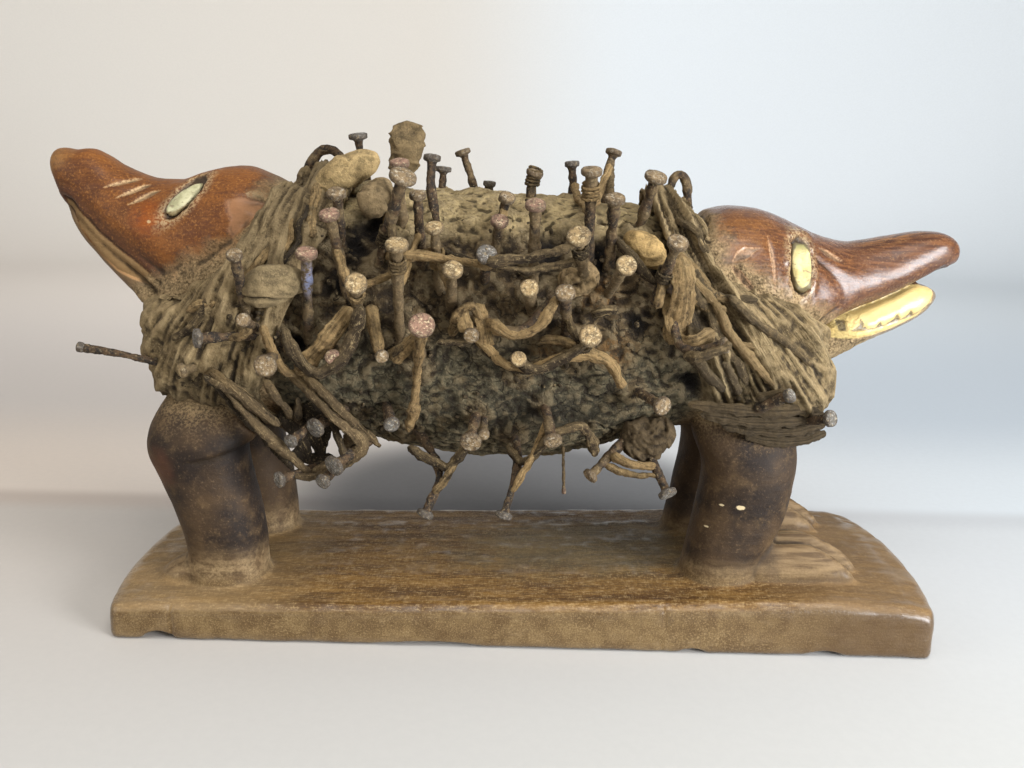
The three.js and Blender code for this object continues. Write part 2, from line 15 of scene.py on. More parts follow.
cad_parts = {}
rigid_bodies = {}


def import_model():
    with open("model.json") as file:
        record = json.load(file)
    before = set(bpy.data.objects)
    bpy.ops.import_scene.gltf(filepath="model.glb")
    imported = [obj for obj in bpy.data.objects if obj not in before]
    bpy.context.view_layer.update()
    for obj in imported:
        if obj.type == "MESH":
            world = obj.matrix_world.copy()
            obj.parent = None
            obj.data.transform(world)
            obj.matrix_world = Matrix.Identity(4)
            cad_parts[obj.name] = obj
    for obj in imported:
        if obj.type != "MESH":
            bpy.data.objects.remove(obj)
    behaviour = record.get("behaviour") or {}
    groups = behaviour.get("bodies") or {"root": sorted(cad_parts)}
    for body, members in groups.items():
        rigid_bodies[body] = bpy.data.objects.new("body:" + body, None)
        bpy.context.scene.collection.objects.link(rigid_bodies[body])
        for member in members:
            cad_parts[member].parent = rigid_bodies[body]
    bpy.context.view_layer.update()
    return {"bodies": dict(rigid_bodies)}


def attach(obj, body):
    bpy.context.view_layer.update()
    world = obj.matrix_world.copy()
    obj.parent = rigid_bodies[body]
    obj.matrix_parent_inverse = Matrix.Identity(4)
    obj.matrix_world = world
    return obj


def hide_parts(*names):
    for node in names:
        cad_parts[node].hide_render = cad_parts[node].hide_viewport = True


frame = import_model()

MM = 0.001
BODY = next(iter(frame["bodies"]))
FRONT, BACK = -1, 1

# Camera, as the photograph was taken
CAMERA_PLACE = (-1.0, -476.0, 231.5)
CAMERA_YAW = 0.68
CAMERA_PITCH = 13.15
CAMERA_ROLL = 1.16
CAMERA_LENS = 31.64
SENSOR_WIDTH = 36
PHOTO_SIZE = (1024, 768)

# Painted light and shade on the floor from the front to the back, with a painted shadow line at 100 to 126
# and warmer light at the left: where each tone begins and ends in Y, at the left, at the right
STAGE_LIGHT_AND_SHADE = [
    (-260, 60, (0.52, 0.47, 0.42), (0.55, 0.57, 0.585)), (100, 126, (0.5, 0.42, 0.36), (0.5, 0.52, 0.54)),
    (128, 150, (0.68, 0.59, 0.51), (0.59, 0.63, 0.66)), (200, 420, (0.58, 0.53, 0.49), (0.48, 0.53, 0.58)),
    (500, 1300, (0.65, 0.59, 0.53), (0.56, 0.6, 0.63)), (1400, 2500, (0.74, 0.7, 0.64), (0.79, 0.83, 0.86)),
]

# The soft shadow on the floor behind the plinth, which shows under the belly
SHADE_PLACE = (-4, 160)
SHADE_SIZE = (178, 150)

# Fineness of the meshes: voxels in millimetres, and triangles that are left
FIGURE_VOXEL, COLLAR_VOXEL = 1.15, 0.95
BODY_TRIANGLES, STAND_TRIANGLES, COLLAR_TRIANGLES = 178000, 122000, 118000
PACKET_STEPS, PACKET_SIDES = 60, 76

# Fullness of the sections: 2 is an ellipse, and more is squarer
BODY_FULLNESS = 2.2
HEAD_FULLNESS = 2.4

# Carved figure: x, top, underside, half width, narrowing towards the top
TRUNK = [
    (-192, 168, 128, 16, 0), (-184, 187, 112, 34, 0), (-162, 207, 102, 45, 0),
    (-119, 221, 95, 53, 0), (-88, 223, 93, 54, 0), (-56, 223, 87, 54, 0), (-26, 222, 83, 54, 0),
    (4, 221, 83, 54, 0), (32, 219, 88, 53, 0), (58, 216, 97, 53, 0), (84, 212, 102, 52, 0),
    (116, 203, 105, 46, 0), (140, 180, 115, 29, 0), (149, 160, 132, 12, 0),
]
LEFT_HEAD = [
    (-246.5, 235, 228, 4, 0), (-244, 238.5, 223, 8, 0), (-240, 240, 214, 11, 0),
    (-233, 239, 208, 14, 0), (-226, 240, 203, 16, 0.1), (-219, 237.5, 198, 18, 0.15),
    (-211, 232.5, 192, 21, 0.2), (-201, 228, 185, 25, 0.2), (-190, 225.5, 178, 29, 0.2),
    (-179, 225.5, 171, 32.5, 0.18), (-168, 229, 162, 36, 0.16), (-157, 232, 150, 39, 0.15),
    (-146, 233, 138, 42, 0.12), (-133, 229, 125, 45, 0.1), (-120, 222, 115, 47, 0.1),
]
LEFT_JAW = [
    (-239.5, 217, 212, 4, 0), (-236, 214, 204, 9, 0), (-230, 209, 194, 13.5, 0),
    (-221, 202, 184.5, 17.5, 0), (-211, 194, 175, 21.5, 0), (-201, 187, 166, 25.5, 0),
    (-190, 179, 154, 30, 0), (-176, 168, 140, 34, 0), (-160, 156, 126, 38, 0),
]
LEFT_MOUTH = [
    (-233, 216, 208, 8, 0), (-230, 217, 205, 13.5, 0), (-221, 209, 195, 17, 0), (-211, 201.5, 186, 20.5, 0),
    (-201, 195, 179, 24.5, 0), (-190, 190, 170, 29, 0), (-176, 183, 158, 33, 0), (-160, 173, 146, 37, 0),
]
RIGHT_HEAD = [
    (223.5, 197.5, 191.5, 3, 0), (222, 201, 190.5, 7, 0), (219, 204, 189.5, 10, 0),
    (213, 206.5, 187, 13, 0), (206, 207, 184, 15, 0.1), (197, 206, 179, 17, 0.15),
    (186, 204, 173.5, 19, 0.2), (175, 202, 169, 21, 0.2), (165, 200.5, 165, 24, 0.2),
    (156, 202, 160, 27.5, 0.18), (147, 205, 154, 31, 0.16), (138, 209, 147, 35, 0.15),
    (128, 213.5, 138, 39, 0.12), (117, 217, 128, 43, 0.1), (104, 218, 118, 46, 0.1),
    (90, 215, 112, 47, 0.1),
]
RIGHT_JAW = [
    (214.5, 176, 171.5, 4, 0), (210, 178.5, 166, 9, 0), (204, 180, 161, 12, 0),
    (197, 178.5, 157, 14, 0), (188, 174, 153, 16.5, 0), (178, 170, 149, 19, 0),
    (167, 166, 143.5, 22, 0), (155, 160.5, 137.5, 26, 0), (143, 152, 130, 31, 0),
    (128, 144, 124, 26, 0),
]

# Legs: height, x of the centre, half length, half width, shift inwards
LEFT_LEG = [
    (12, -156, 24, 21, 0), (34, -155, 20.5, 19, 0), (58, -158.5, 22, 20.5, 0), (80, -164.5, 24.5, 21, 0),
    (90, -166.5, 26, 23, 0), (105, -163, 27.5, 22, 3), (126, -152, 27, 15, 12),
]
RIGHT_LEG = [
    (12, 105, 24, 21, 0), (38, 106, 20.5, 19, 0), (58, 112, 23, 20, 0),
    (88, 116, 23.5, 21.5, 0), (104, 113, 26, 20, 3), (124, 106, 26, 14, 12),
]
LEG_OFFSET = 32

# Feet: how many toes, where they start, then x, height of the ridge and half width of a toe
LEFT_FOOT = (1, -160, [(-164, 36, 17), (-176, 32, 16), (-186, 27, 13), (-192, 22, 8)])
RIGHT_FOOT = (3, 112, [(122, 50, 8), (146, 52, 7.5), (164, 45, 6.5), (174, 37, 5.5), (179, 30, 3.5)])
TOE_PITCH = 11
FOOT_FLOOR = 18

# Plinth: x and height of the top edge, then the chips in the lower front edge
PLINTH_HALF_LENGTH = 206
PLINTH_HALF_DEPTH = 68
PLINTH_END_BOW = 7
PLINTH_DOME = 3
PLINTH_EDGE_ROUND = 4
PLINTH_EDGE = [(-206, 17), (-190, 19), (-140, 20), (-50, 22), (50, 25), (155, 29), (192, 27), (206, 24)]
PLINTH_CHIPS = [(-181, 8, 5, 16), (-46, 27, 2.6, 7), (87, 7, 3.2, 5), (153, 9, 3.4, 6)]

# Rag collars: sections of the mantle, then the slanting edges as two points each
LEFT_MANTLE = [
    (-199, 152, 134, 14, 0), (-193, 174, 117, 35, 0), (-182, 193, 109, 48, 0), (-168, 206, 105, 55, 0),
    (-152, 218, 101, 59, 0), (-136, 228, 99, 61.5, 0), (-120, 232, 98, 63, 0), (-72, 233, 98, 63, 0),
]
LEFT_COLLAR_EDGES = {
    "head": [((-119, 230), (-137, 194), -1), ((-137, 194), (-199, 163), -1)],
    "trunk": ((-78, 236), (-140, 100), 1),
}
RIGHT_MANTLE = [
    (48, 226, 100, 62, 0), (64, 226, 100, 62, 0), (80, 224, 100, 62, 0), (96, 221, 100, 61, 0),
    (112, 215, 98, 59, 0), (127, 205, 96, 56, 0), (140, 191, 96, 51, 0),
    (151, 172, 98, 42, 0), (158, 152, 104, 26, 0), (160, 140, 114, 12, 0),
]
RIGHT_COLLAR_EDGES = {
    "head": [((84, 216), (91, 191), 1), ((91, 191), (158, 157), 1)],
    "trunk": ((56, 228), (92, 96), -1),
}
# Each collar: its mantle, its edges, the top of the fan of its folds in the side view, seed and softness
COLLARS = {
    "left_rag_collar": (LEFT_MANTLE, LEFT_COLLAR_EDGES, (-100, 244), 51, 0.8),
    "right_rag_collar": (RIGHT_MANTLE, RIGHT_COLLAR_EDGES, (40, 250), 151, 0.0),
}
FAN_PINCH = 35

# Eyes let into the flanks of the heads: place in the side view, half sizes, turn in that view,
# and two powers that shape the outline, from a rounded box under 1 to a pointed leaf over 1
EYES = {
    "left_head": (LEFT_HEAD, (-169.5, 217.3), (11.8, 3.2, 4.4), 0.88, (1.0, 1.35)),
    "right_head": (RIGHT_HEAD, (134, 190.5), (5.0, 3.4, 12.3), 0.02, (0.5, 0.6)),
}
EYE_SINK = 2.5

# Tied packets: centre line from end to end, radius at the ends and at the middle
PACKETS = {
    "cloth_roll": ([(-104, -26, 223), (-89, -27, 231), (-74, -24, 239)], 6, 9),
    "knotted_packet": ([(-63, -18, 230), (-60, -18, 243), (-57, -16, 255)], 9, 9.5),
    "rounded_packet": ([(-77, -40, 209), (-73, -37, 218), (-71, -30, 227)], 5, 8),
    "folded_packet": ([(-131, -66, 175), (-117, -68, 180), (-102, -66, 184)], 6.5, 9),
    "fibre_knot": ([(15, -53, 179), (24, -52, 183), (33, -50, 187)], 5.5, 8),
    "ochre_packet": ([(46, -43, 204), (55, -47, 198), (65, -48, 191)], 5, 7.5),
    "hanging_lump": ([(51, -35, 97), (62, -38, 103), (76, -40, 109)], 7.5, 11),
}

# Tones of the nails' heads
STEEL, TAN, PINK, GOLD = 0.1, 0.5, 0.7, 0.92

# Nails by their sets: shank radius, head radius, tone, then the foot, any bends and the middle of the head
NAILS = {
    "crown_nail_rear": [(2.2, 4.7, STEEL, (-84, -8, 226), (-86, -12, 249))],
    "arched_nail_left": [
        (2.6, 2.7, TAN, (-120, 8, 222), (-114, 8, 237), (-107, 8, 243), (-99, 8, 240), (-94, 8, 226)),
    ],
    "lashed_crown_nails": [
        (2.8, 6.2, TAN, (-71, -48, 187), (-55, -74, 230)),
        (2.6, 5.2, GOLD, (-60, -54, 153), (-57, -82, 201)),
        (2.5, 3.9, TAN, (-50, -48, 184), (-50, -64, 222)),
    ],
    "crown_nail_front": [(2.4, 4.6, PINK, (-60, -38, 206), (-60, -50, 236))],
    "bent_crown_nail": [(2.4, 4.2, STEEL, (-43, -40, 205), (-47, -40, 224), (-46, -38, 239))],
    "small_crown_nail": [(2.2, 4.2, STEEL, (-46, 10, 221), (-45, 10, 234))],
    "leaning_crown_nail": [(2.2, 4.2, TAN, (-27, 20, 216), (-32, 20, 232), (-36, 20, 243))],
    "low_crown_nail": [(2.2, 3.4, STEEL, (-22, 18, 217), (-21, 18, 227))],
    "lashed_middle_nails": [
        (2.4, 4.2, PINK, (-16, -44, 190), (-13, -60, 211)),
        (2.4, 4, TAN, (-14, -32, 208), (-10, -42, 221)),
    ],
    "string_wrapped_nail": [(2.4, 4.4, TAN, (1, -5, 211), (1, -5, 224), (3, -7, 233))],
    "tall_middle_nail": [(3, 4.7, PINK, (3, -49, 178), (3, -71, 219))],
    "lashed_right_crown_nails": [
        (2.4, 3.8, STEEL, (24, 5, 214), (22, 5, 238)),
        (3, 4.9, TAN, (29, -44, 191), (28, -60, 234)),
        (2.4, 4.2, TAN, (39, -6, 210), (39, -4, 229), (43, -2, 244)),
        (2.8, 4.7, TAN, (39, -44, 191), (39, -60, 222)),
    ],
    "flared_nail": [(2.6, 5.4, TAN, (53, -30, 203), (59, -46, 232))],
    "arched_nail_right": [
        (2.4, 2.5, TAN, (70, 0, 208), (73, 0, 230), (78, 0, 234), (82, 0, 227), (83, 0, 206)),
    ],
    "leaning_right_nail": [(2.8, 4.9, TAN, (60, -51, 172), (66, -76, 204))],
    "corded_nails": [
        (2.6, 5.5, GOLD, (28, -49, 178), (22, -79, 206)),
        (2.6, 4.7, STEEL, (-20, -51, 181), (-18, -77, 197)),
    ],
    "bright_headed_nail": [(2.4, 4.7, GOLD, (38, -50, 176), (43, -84, 194))],
    "blunt_front_nail": [(2.8, 4.2, GOLD, (3, -50, 166), (1, -82, 183))],
    "lashed_right_flank_nails": [
        (2.6, 4.6, TAN, (20, -52, 155), (17, -78, 181)),
        (2.6, 5.2, GOLD, (24, -52, 147), (29, -80, 162)),
        (2.2, 3.7, GOLD, (-3, -52, 138), (-3, -76, 150)),
    ],
    "lashed_left_flank_nails": [
        (2.6, 4.7, GOLD, (-36, -52, 168), (-33, -76, 190)),
        (2.4, 4.3, GOLD, (-41, -52, 178), (-42, -70, 208)),
    ],
    "lashed_shoulder_nails": [
        (2.6, 5, GOLD, (-80, -54, 167), (-74, -88, 184)),
        (2.8, 4.7, PINK, (-85, -54, 178), (-88, -74, 213)),
    ],
    "shoulder_nail": [(2.4, 4.4, TAN, (-88, -45, 195), (-87, -62, 222))],
    "collar_nail_upper": [(2.6, 5, PINK, (-103, -56, 157), (-98, -76, 196))],
    "collar_nail_left": [(2.6, 3.7, TAN, (-131, -58, 163), (-129, -80, 195))],
    "collar_nails_crossed": [
        (2.2, 3.2, TAN, (-124, -60, 157), (-126, -82, 166)),
        (2.4, 4.6, STEEL, (-122, -58, 155), (-150, -76, 156)),
    ],
    "collar_nail_low": [(2.6, 5.2, TAN, (-118, -56, 148), (-117, -82, 145))],
    "flank_nail_left": [(2.2, 3.7, PINK, (-90, -48, 150), (-88, -74, 148))],
    "knotted_hanging_nails": [
        (2.6, 5, STEEL, (-86, -38, 117), (-101, -60, 110)),
        (2.6, 5.3, STEEL, (-80, -50, 99), (-91, -66, 93)),
        (2.4, 3.8, STEEL, (-88, -46, 92), (-97, -64, 84)),
        (2.4, 4, STEEL, (-106, -50, 86), (-119, -62, 84)),
    ],
    "outward_nail_left": [(2, 2.6, STEEL, (-168, -40, 132), (-190, -48, 141), (-216, -52, 146))],
    "broad_headed_nail": [(2.6, 6, PINK, (-51, -50, 141), (-46, -84, 166))],
    "forked_hanging_nails_left": [
        (2.4, 4.3, STEEL, (-56, -36, 106), (-38, -54, 89), (-48, -58, 66)),
        (2.4, 5.2, TAN, (-23, -44, 118), (-25, -68, 107)),
    ],
    "forked_hanging_nails_right": [
        (2.4, 4.3, STEEL, (-5, -40, 106), (-1, -54, 93), (-9, -60, 67)),
        (2.4, 4.5, TAN, (9, -46, 126), (14, -70, 109)),
    ],
    "lump_nails": [
        (2.4, 4, TAN, (48, -42, 99), (33, -52, 86)),
        (2.4, 4.7, STEEL, (64, -42, 95), (72, -56, 79)),
    ],
    "flank_nail_right": [(2.4, 4.7, TAN, (52, -46, 131), (65, -68, 127))],
    "collar_nail_dark": [(2.4, 3.4, STEEL, (109, -54, 122), (124, -68, 134))],
    "outward_nail_right": [(2.2, 4.2, STEEL, (134, -36, 112), (148, -56, 120))],
    "bent_front_nail": [(2.8, 3.4, TAN, (-22, -50, 167), (-13, -70, 161), (0, -72, 161), (13, -68, 178))],
    "elbow_nail": [(2.6, 3.7, TAN, (67, -52, 181), (70, -66, 151), (91, -74, 158))],
}
BACK_SETS = [
    ("back_nails_shoulder", -66, 186), ("back_nails_middle_left", -30, 150),
    ("back_nails_middle_right", 8, 186), ("back_nails_flank", 38, 140),
]
BACK_NAIL_PITCH = 15
BACK_NAIL_REACH = (24, 32, 26)

# Small nails that are too slight for the CAD, by the sets that they stand with
SLIGHT_NAILS = {
    "lashed_left_flank_nails": [(2.2, 3.6, TAN, (-22, -50, 164), (-25, -72, 159))],
    "collar_nails_crossed": [(2.2, 3.6, GOLD, (-150, -50, 140), (-164, -60, 137))],
    "flank_nail_left": [(2.2, 3.2, TAN, (-72, -50, 154), (-66, -70, 148))],
    "knotted_hanging_nails": [
        (2.2, 3.5, STEEL, (-100, -46, 112), (-112, -64, 104)),
        (2.4, 4, STEEL, (-70, -40, 122), (-63, -62, 113)),
    ],
    "forked_hanging_nails_left": [(2, 2.8, TAN, (-20, -44, 116), (-19, -62, 109))],
    "forked_hanging_nails_right": [(0.9, 1.3, PINK, (21, -24, 102), (21, -28, 92), (22, -29, 69))],
}

# Rag strips stiffened with mud: thickness, then points
STRIPS = [
    (2.2, (-18, -79, 193), (-2, -76, 195), (10, -78, 198), (24, -80, 202)),
    (2.6, (-3, -72, 148), (6, -71, 142), (16, -70, 148), (29, -73, 158)),
    (2.5, (-158, -52, 139), (-146, -60, 132), (-128, -63, 112), (-108, -54, 87), (-104, -50, 83)),
    (2.8, (-150, -60, 137), (-136, -64, 127), (-118, -60, 112)),
    (2.8, (-112, -56, 138), (-92, -62, 116), (-76, -57, 104), (-84, -54, 92), (-106, -52, 86)),
    (2.6, (-56, -52, 100), (-38, -56, 89), (-31, -58, 95), (-25, -60, 112)),
    (2.6, (-8, -50, 100), (-1, -56, 93), (6, -58, 98), (13, -66, 113), (30, -62, 116), (36, -54, 98)),
    (2.8, (44, -48, 96), (54, -53, 92), (66, -48, 91)),
    (2.4, (-57, -68, 194), (-43, -68, 195), (-21, -68, 191), (-13, -68, 193)),
    (2.4, (-24, -64, 156), (-3, -68, 141), (16, -68, 150), (38, -66, 151), (46, -60, 136)),
    (3.4, (-114, -62, 160), (-104, -68, 142), (-94, -70, 138), (-82, -72, 150), (-74, -74, 172)),
    (2.6, (-46, -82, 165), (-49, -68, 148), (-53, -58, 124), (-56, -50, 106)),
    (3, (-63, -62, 146), (-56, -66, 152), (-50, -66, 158)),
    (2.6, (-36, -58, 156), (-31, -64, 168), (-26, -67, 173), (-21, -64, 168), (-17, -58, 152)),
    (3.2, (-20, -60, 163), (-14, -70, 163), (-4, -74, 159), (6, -73, 164), (14, -70, 178)),
    (2.2, (30, -60, 168), (36, -64, 170), (43, -60, 171)),
    (2.4, (72, -70, 151), (82, -75, 153), (93, -76, 159)),
]

# String wound round the shanks: the set, which of its nails, height along it from foot to head, turns
WINDINGS = [
    ("lashed_crown_nails", 0, 0.35, 5), ("lashed_crown_nails", 1, 0.8, 4), ("string_wrapped_nail", 0, 0.7, 5),
    ("lashed_right_crown_nails", 1, 0.78, 4), ("corded_nails", 0, 0.75, 4), ("corded_nails", 1, 0.8, 4),
    ("lashed_right_flank_nails", 1, 0.5, 4), ("lashed_shoulder_nails", 0, 0.6, 4),
    ("lashed_left_flank_nails", 1, 0.5, 5), ("leaning_right_nail", 0, 0.5, 3),
    ("back_nails_shoulder", 1, 0.5, 5), ("back_nails_middle_right", 1, 0.6, 4),
]
LASHING_HEIGHT = 0.55
LASHING_SAG = 3
# Rag strands on the front and on the back of each collar
LEFT_STRANDS, RIGHT_STRANDS = 12, 26

# Strips, sticks and bands of the front, each with its thickness, then points as the pixel of the
# photograph where it is seen and its height over the body, or its Y where that is negative
SEEN_STICKS = [
    (2.2, (262, 326, 12), (272, 350, 11), (284, 372, 12), (296, 375, 13)),
    (1.6, (204, 376, 10), (240, 398, 11), (277, 420, 10), (297, 436, 8)),
    (1.9, (205, 375, 10), (250, 423, 12), (293, 469, 12)),
    (2.4, (303, 373, 12), (347, 417, 16), (380, 446, 16)),
    (2.6, (372, 437, 14), (354, 452, 12), (334, 469, 10)),
    (2.0, (297, 398, 10), (298, 430, 11), (297, 460, 9)),
    (2.4, (264, 381, 16), (278, 400, 14), (291, 417, 8)),
    (1.5, (444, 251, 12), (480, 265, 14)),
    (1.6, (362, 285, 14), (388, 277, 15), (405, 270, 13)),
    (1.4, (437, 343, 12), (471, 343, 12)),
    (1.8, (480, 345, 10), (500, 362, 12), (519, 374, 12), (545, 368, 12), (558, 362, 10)),
    (3.0, (371, 304, 6), (379, 355, 15)),
    (2.6, (386, 200, -30), (389, 230, -42), (390, 260, 8)),
    (2.0, (613, 236, 12), (632, 258, 14), (656, 285, 8)),
    (2.2, (668, 265, 10), (664, 285, 14), (656, 309, 12)),
    (2.0, (724, 362, 6), (741, 394, 7)),
    (2.0, (756, 399, 5), (787, 391, 7)),
    (2.2, (540, 340, 12), (559, 338, 14), (588, 353, 14), (608, 357, 12)),
    (2.0, (605, 360, 10), (625, 389, 10)),
    (2.6, (690, 353, 5), (705, 372, 6), (724, 391, 4)),
    (2.1, (714, 302, 2), (728, 330, 3), (746, 353, 2), (773, 385, 2)),
    (2.1, (729, 294, 2), (752, 320, 3), (782, 340, 2), (812, 366, 2)),
]
SEEN_BANDS = [
    (4.2, (296, 374, 12), (316, 353, 14), (335, 330, 15), (352, 306, 12)),
    (3.0, (222, 379, 7), (250, 402, 8), (278, 423, 6)),
    (3.0, (393, 362, 10), (408, 345, 14), (415, 336, 16)),
    (3.0, (461, 309, 12), (468, 333, 14)),
    (3.0, (478, 304, 12), (488, 348, 12)),
    (2.2, (405, 256, 14), (421, 254, 16), (437, 251, 12)),
    (5.0, (680, 256, 7), (686, 285, 9), (681, 315, 8), (671, 344, 5)),
    (3.4, (668, 294, 9), (675, 342, 9), (694, 344, 8), (714, 333, 4)),
    (4.0, (352, 420, 6), (350, 440, 8), (352, 462, 6)),
    (2.8, (688, 403, -55), (730, 409, -58), (778, 413, -56), (824, 407, -42)),
    (2.6, (700, 414, -55), (742, 422, -57), (786, 424, -53), (828, 416, -39)),
    (2.4, (722, 424, -54), (756, 432, -54), (793, 433, -49), (826, 425, -37)),
    (2.5, (744, 435, -51), (776, 443, -49), (806, 441, -43), (826, 432, -35)),
]
# Dark tangle of rag that hangs behind the knotted nails
SEEN_TANGLE = [
    (4.2, (282, 410, -46), (299, 436, -43), (311, 464, -41)),
    (4.4, (310, 402, -47), (318, 434, -43), (322, 460, -41)),
    (3.2, (290, 452, -44), (310, 461, -42), (333, 456, -43)),
    (3.0, (334, 408, -46), (328, 432, -43), (318, 452, -42)),
    (2.8, (296, 404, -46), (300, 424, -44), (316, 446, -42), (330, 468, -42)),
]

# Deep hollows of the front, painted near black as shade: pixel in the photograph, and radius in millimetres
SHADED_HOLLOWS = [
    (352, 245, 11), (372, 228, 11), (548, 252, 10), (598, 262, 9), (338, 285, 7), (640, 322, 7),
    (262, 300, 5), (328, 345, 7), (292, 345, 6), (262, 425, 7), (300, 420, 7), (690, 385, 7), (697, 322, 7),
]

# Marks on the left head, in the side view
LEFT_LIP = [
    (-237, 216), (-232, 214), (-228, 209), (-222, 204), (-217, 199), (-210, 194), (-204, 190),
    (-197, 186), (-190, 181), (-182, 175),
]
LEFT_BAND_FOOT = [
    (-236, 212), (-232, 208), (-229, 201), (-223, 194), (-215, 186), (-207, 180), (-199, 177), (-187, 173),
]
LEFT_CUTS = [
    (1.9, (-214, 220.6), (-206, 222.8), (-200, 224.6), (-196, 225.2)),
    (2.2, (-207, 215.4), (-199, 218.8), (-193.5, 221.4), (-190, 222.6)),
    (2.2, (-199.5, 212.4), (-193, 215.6), (-188, 218.4), (-184, 220)),
]
LEFT_EAR = [
    (-147, 217), (-146, 211), (-144, 208), (-145, 203), (-143, 198), (-136, 204), (-131, 209),
    (-128, 215), (-134, 217), (-141, 218),
]
LEFT_CREASE = [(-159, 186), (-150, 192), (-144, 197)]
LEFT_BROW = [(-178, 224), (-166, 229), (-156, 229)]
KNEE_CREASE = [(-163, 90), (-153, 92), (-144, 94), (-135, 97)]

# Marks on the right head, in the side view
RIGHT_LIP = [(150, 158), (158, 163), (169, 167), (178, 170), (187, 174), (196, 178), (206, 184), (213, 189)]
RIGHT_BAND_TOP = [
    (152, 160), (157, 163), (163, 165.5), (172, 168.5), (181, 172.5), (190, 175.5), (198, 179.5), (212, 180),
]
RIGHT_BAND_FOOT = [
    (154, 154), (163, 153.2), (171, 153.2), (181, 154.6), (191, 158), (202, 163.4), (207.4, 167.2),
    (210.5, 172), (212, 176),
]
RIGHT_BROW = [(127, 205), (134, 208), (141, 204)]
# Painted gaps between the teeth, and the line of the mouth below them, which gets painted shade
RIGHT_TEETH = [
    [(158.7, 161.4), (162.8, 161.8), (163.2, 157.2), (159.2, 157)],
    [(171, 163), (170.2, 159.8), (166, 157.2), (174.2, 157.8), (172.4, 160.4)],
    [(181, 161.8), (179, 158.4), (182.8, 158.8)],
    [(190.8, 166), (188.6, 162.4), (184.8, 159.9), (193, 162), (191.6, 163.6)],
    [(198, 167.6), (197, 164.6), (194, 162.2), (200.4, 164.1)],
    [(209, 170.8), (206, 167.4), (203.2, 164.6), (210.6, 168.4)],
]
MOUTH_LINE = [
    (165, 156.9), (174.4, 157.5), (179.5, 158.4), (185.1, 160), (192.2, 162), (198.6, 164), (202, 165.5),
    (207.5, 168.6), (211, 174),
]
RIGHT_CUTS = [
    (5.2, (98, 192), (102, 195), (106, 197), (112, 199)),
    (3.4, (97.5, 191), (101, 187.5), (105.5, 182.5), (110.5, 177.5)),
    (1.8, (116.6, 204.5), (117.6, 198), (118.8, 190), (119.6, 178.5)),
    (2.6, (144.5, 199), (149, 196.4), (154, 193.4), (158.2, 191.7)),
]

# Scratches and a short crack in the front face of the plinth, in the side view
PLINTH_SCRATCHES = [
    [(-174, 20), (-175, 11), (-174, 3)], [(72, 26), (73, 14)], [(71, 6), (72, 2)],
]


def back_nails():
    """Plainer sets for the back, with three nails in each."""
    sets = {}
    for name, middle, height in BACK_SETS:
        sets[name] = []
        for place, reach in enumerate(BACK_NAIL_REACH, -1):
            along = place * BACK_NAIL_PITCH
            foot = height + place * 5
            tip = (middle + along + 2 * place, 50 + reach, foot + reach * 0.8)
            sets[name].append((2.5, 4.6, TAN, (middle + along, 42, foot), tip))
    return sets


NAILS.update(back_nails())
EVERY_NAIL = [nail for nails in NAILS.values() for nail in nails]


# Small numeric helpers

def signed_power(value, power):
    return np.sign(value) * np.abs(value) ** power


def ease(value, low, high):
    """Runs smoothly from 0 at low to 1 at high."""
    t = np.clip((value - low) / (high - low), 0, 1)
    return t * t * (3 - 2 * t)


def lattice_value(cell, seed):
    """A repeatable number from -1 to 1 for each whole-numbered cell."""
    mixed = (cell[:, 0] * 73856093) ^ (cell[:, 1] * 19349663) ^ (cell[:, 2] * 83492791) ^ (seed * 26544357)
    mixed = ((mixed ^ (mixed >> 13)) * 1274126177) & 0x7FFFFFFF
    return ((mixed ^ (mixed >> 15)) & 0xFFFF) / 32767.5 - 1


def noise(points, size, seed=0):
    """Smooth noise from -1 to 1 whose features are about as large as size, a number or one for each axis."""
    cell = points / np.asarray(size, dtype=float)
    low = np.floor(cell).astype(np.int64)
    t = cell - low
    t = t * t * (3 - 2 * t)
    total = np.zeros(len(points))
    for corner in range(8):
        step = np.array([corner & 1, corner >> 1 & 1, corner >> 2 & 1])
        weight = np.where(step, t, 1 - t).prod(axis=1)
        total += weight * lattice_value(low + step, seed)
    return total


def rough_noise(points, size, octaves=3, seed=0):
    """Noise with finer noise on it, each octave half as large and half as strong."""
    size = np.asarray(size, dtype=float)
    total = sum(noise(points, size / 2 ** k, seed + k) / 2 ** k for k in range(octaves))
    return total / (2 - 2 ** (1 - octaves))


def smooth_rows(rows, step):
    """A table's rows read at even steps of its first column, on monotone cubic curves."""
    table = np.array(sorted(rows), dtype=float)
    x = table[:, :1]
    slope = np.diff(table, axis=0) / np.diff(x, axis=0)
    tangent = np.vstack([slope[:1], (slope[1:] + slope[:-1]) / 2, slope[-1:]])
    turning = slope[1:] * slope[:-1] <= 0
    tangent[1:-1][turning] = 0
    at = np.linspace(x[0, 0], x[-1, 0], max(int((x[-1, 0] - x[0, 0]) / step), 2) + 1)
    k = np.clip(np.searchsorted(x[:, 0], at, side="right") - 1, 0, len(x) - 2)
    width = (x[k + 1] - x[k])
    t = (at[:, None] - x[k]) / width
    value = (2 * t ** 3 - 3 * t ** 2 + 1) * table[k] + (t ** 3 - 2 * t ** 2 + t) * width * tangent[k]
    value += (3 * t ** 2 - 2 * t ** 3) * table[k + 1] + (t ** 3 - t ** 2) * width * tangent[k + 1]
    value[:, 0] = at
    return value


def distance_to_line(points, line):
    """Distance in the side view from each point to a line of corners."""
    corners = np.array(line, dtype=float)
    nearest = np.full(len(points), 1e9)
    for start, end in zip(corners[:-1], corners[1:]):
        along = end - start
        t = np.clip((points - start) @ along / (along @ along), 0, 1)
        nearest = np.minimum(nearest, np.linalg.norm(points - start - t[:, None] * along, axis=1))
    return nearest


def beside_line(points, line, width):
    """1 on a line in the side view, falling to 0 beside it over about the width."""
    return np.exp(-(distance_to_line(points, line) / width) ** 2)


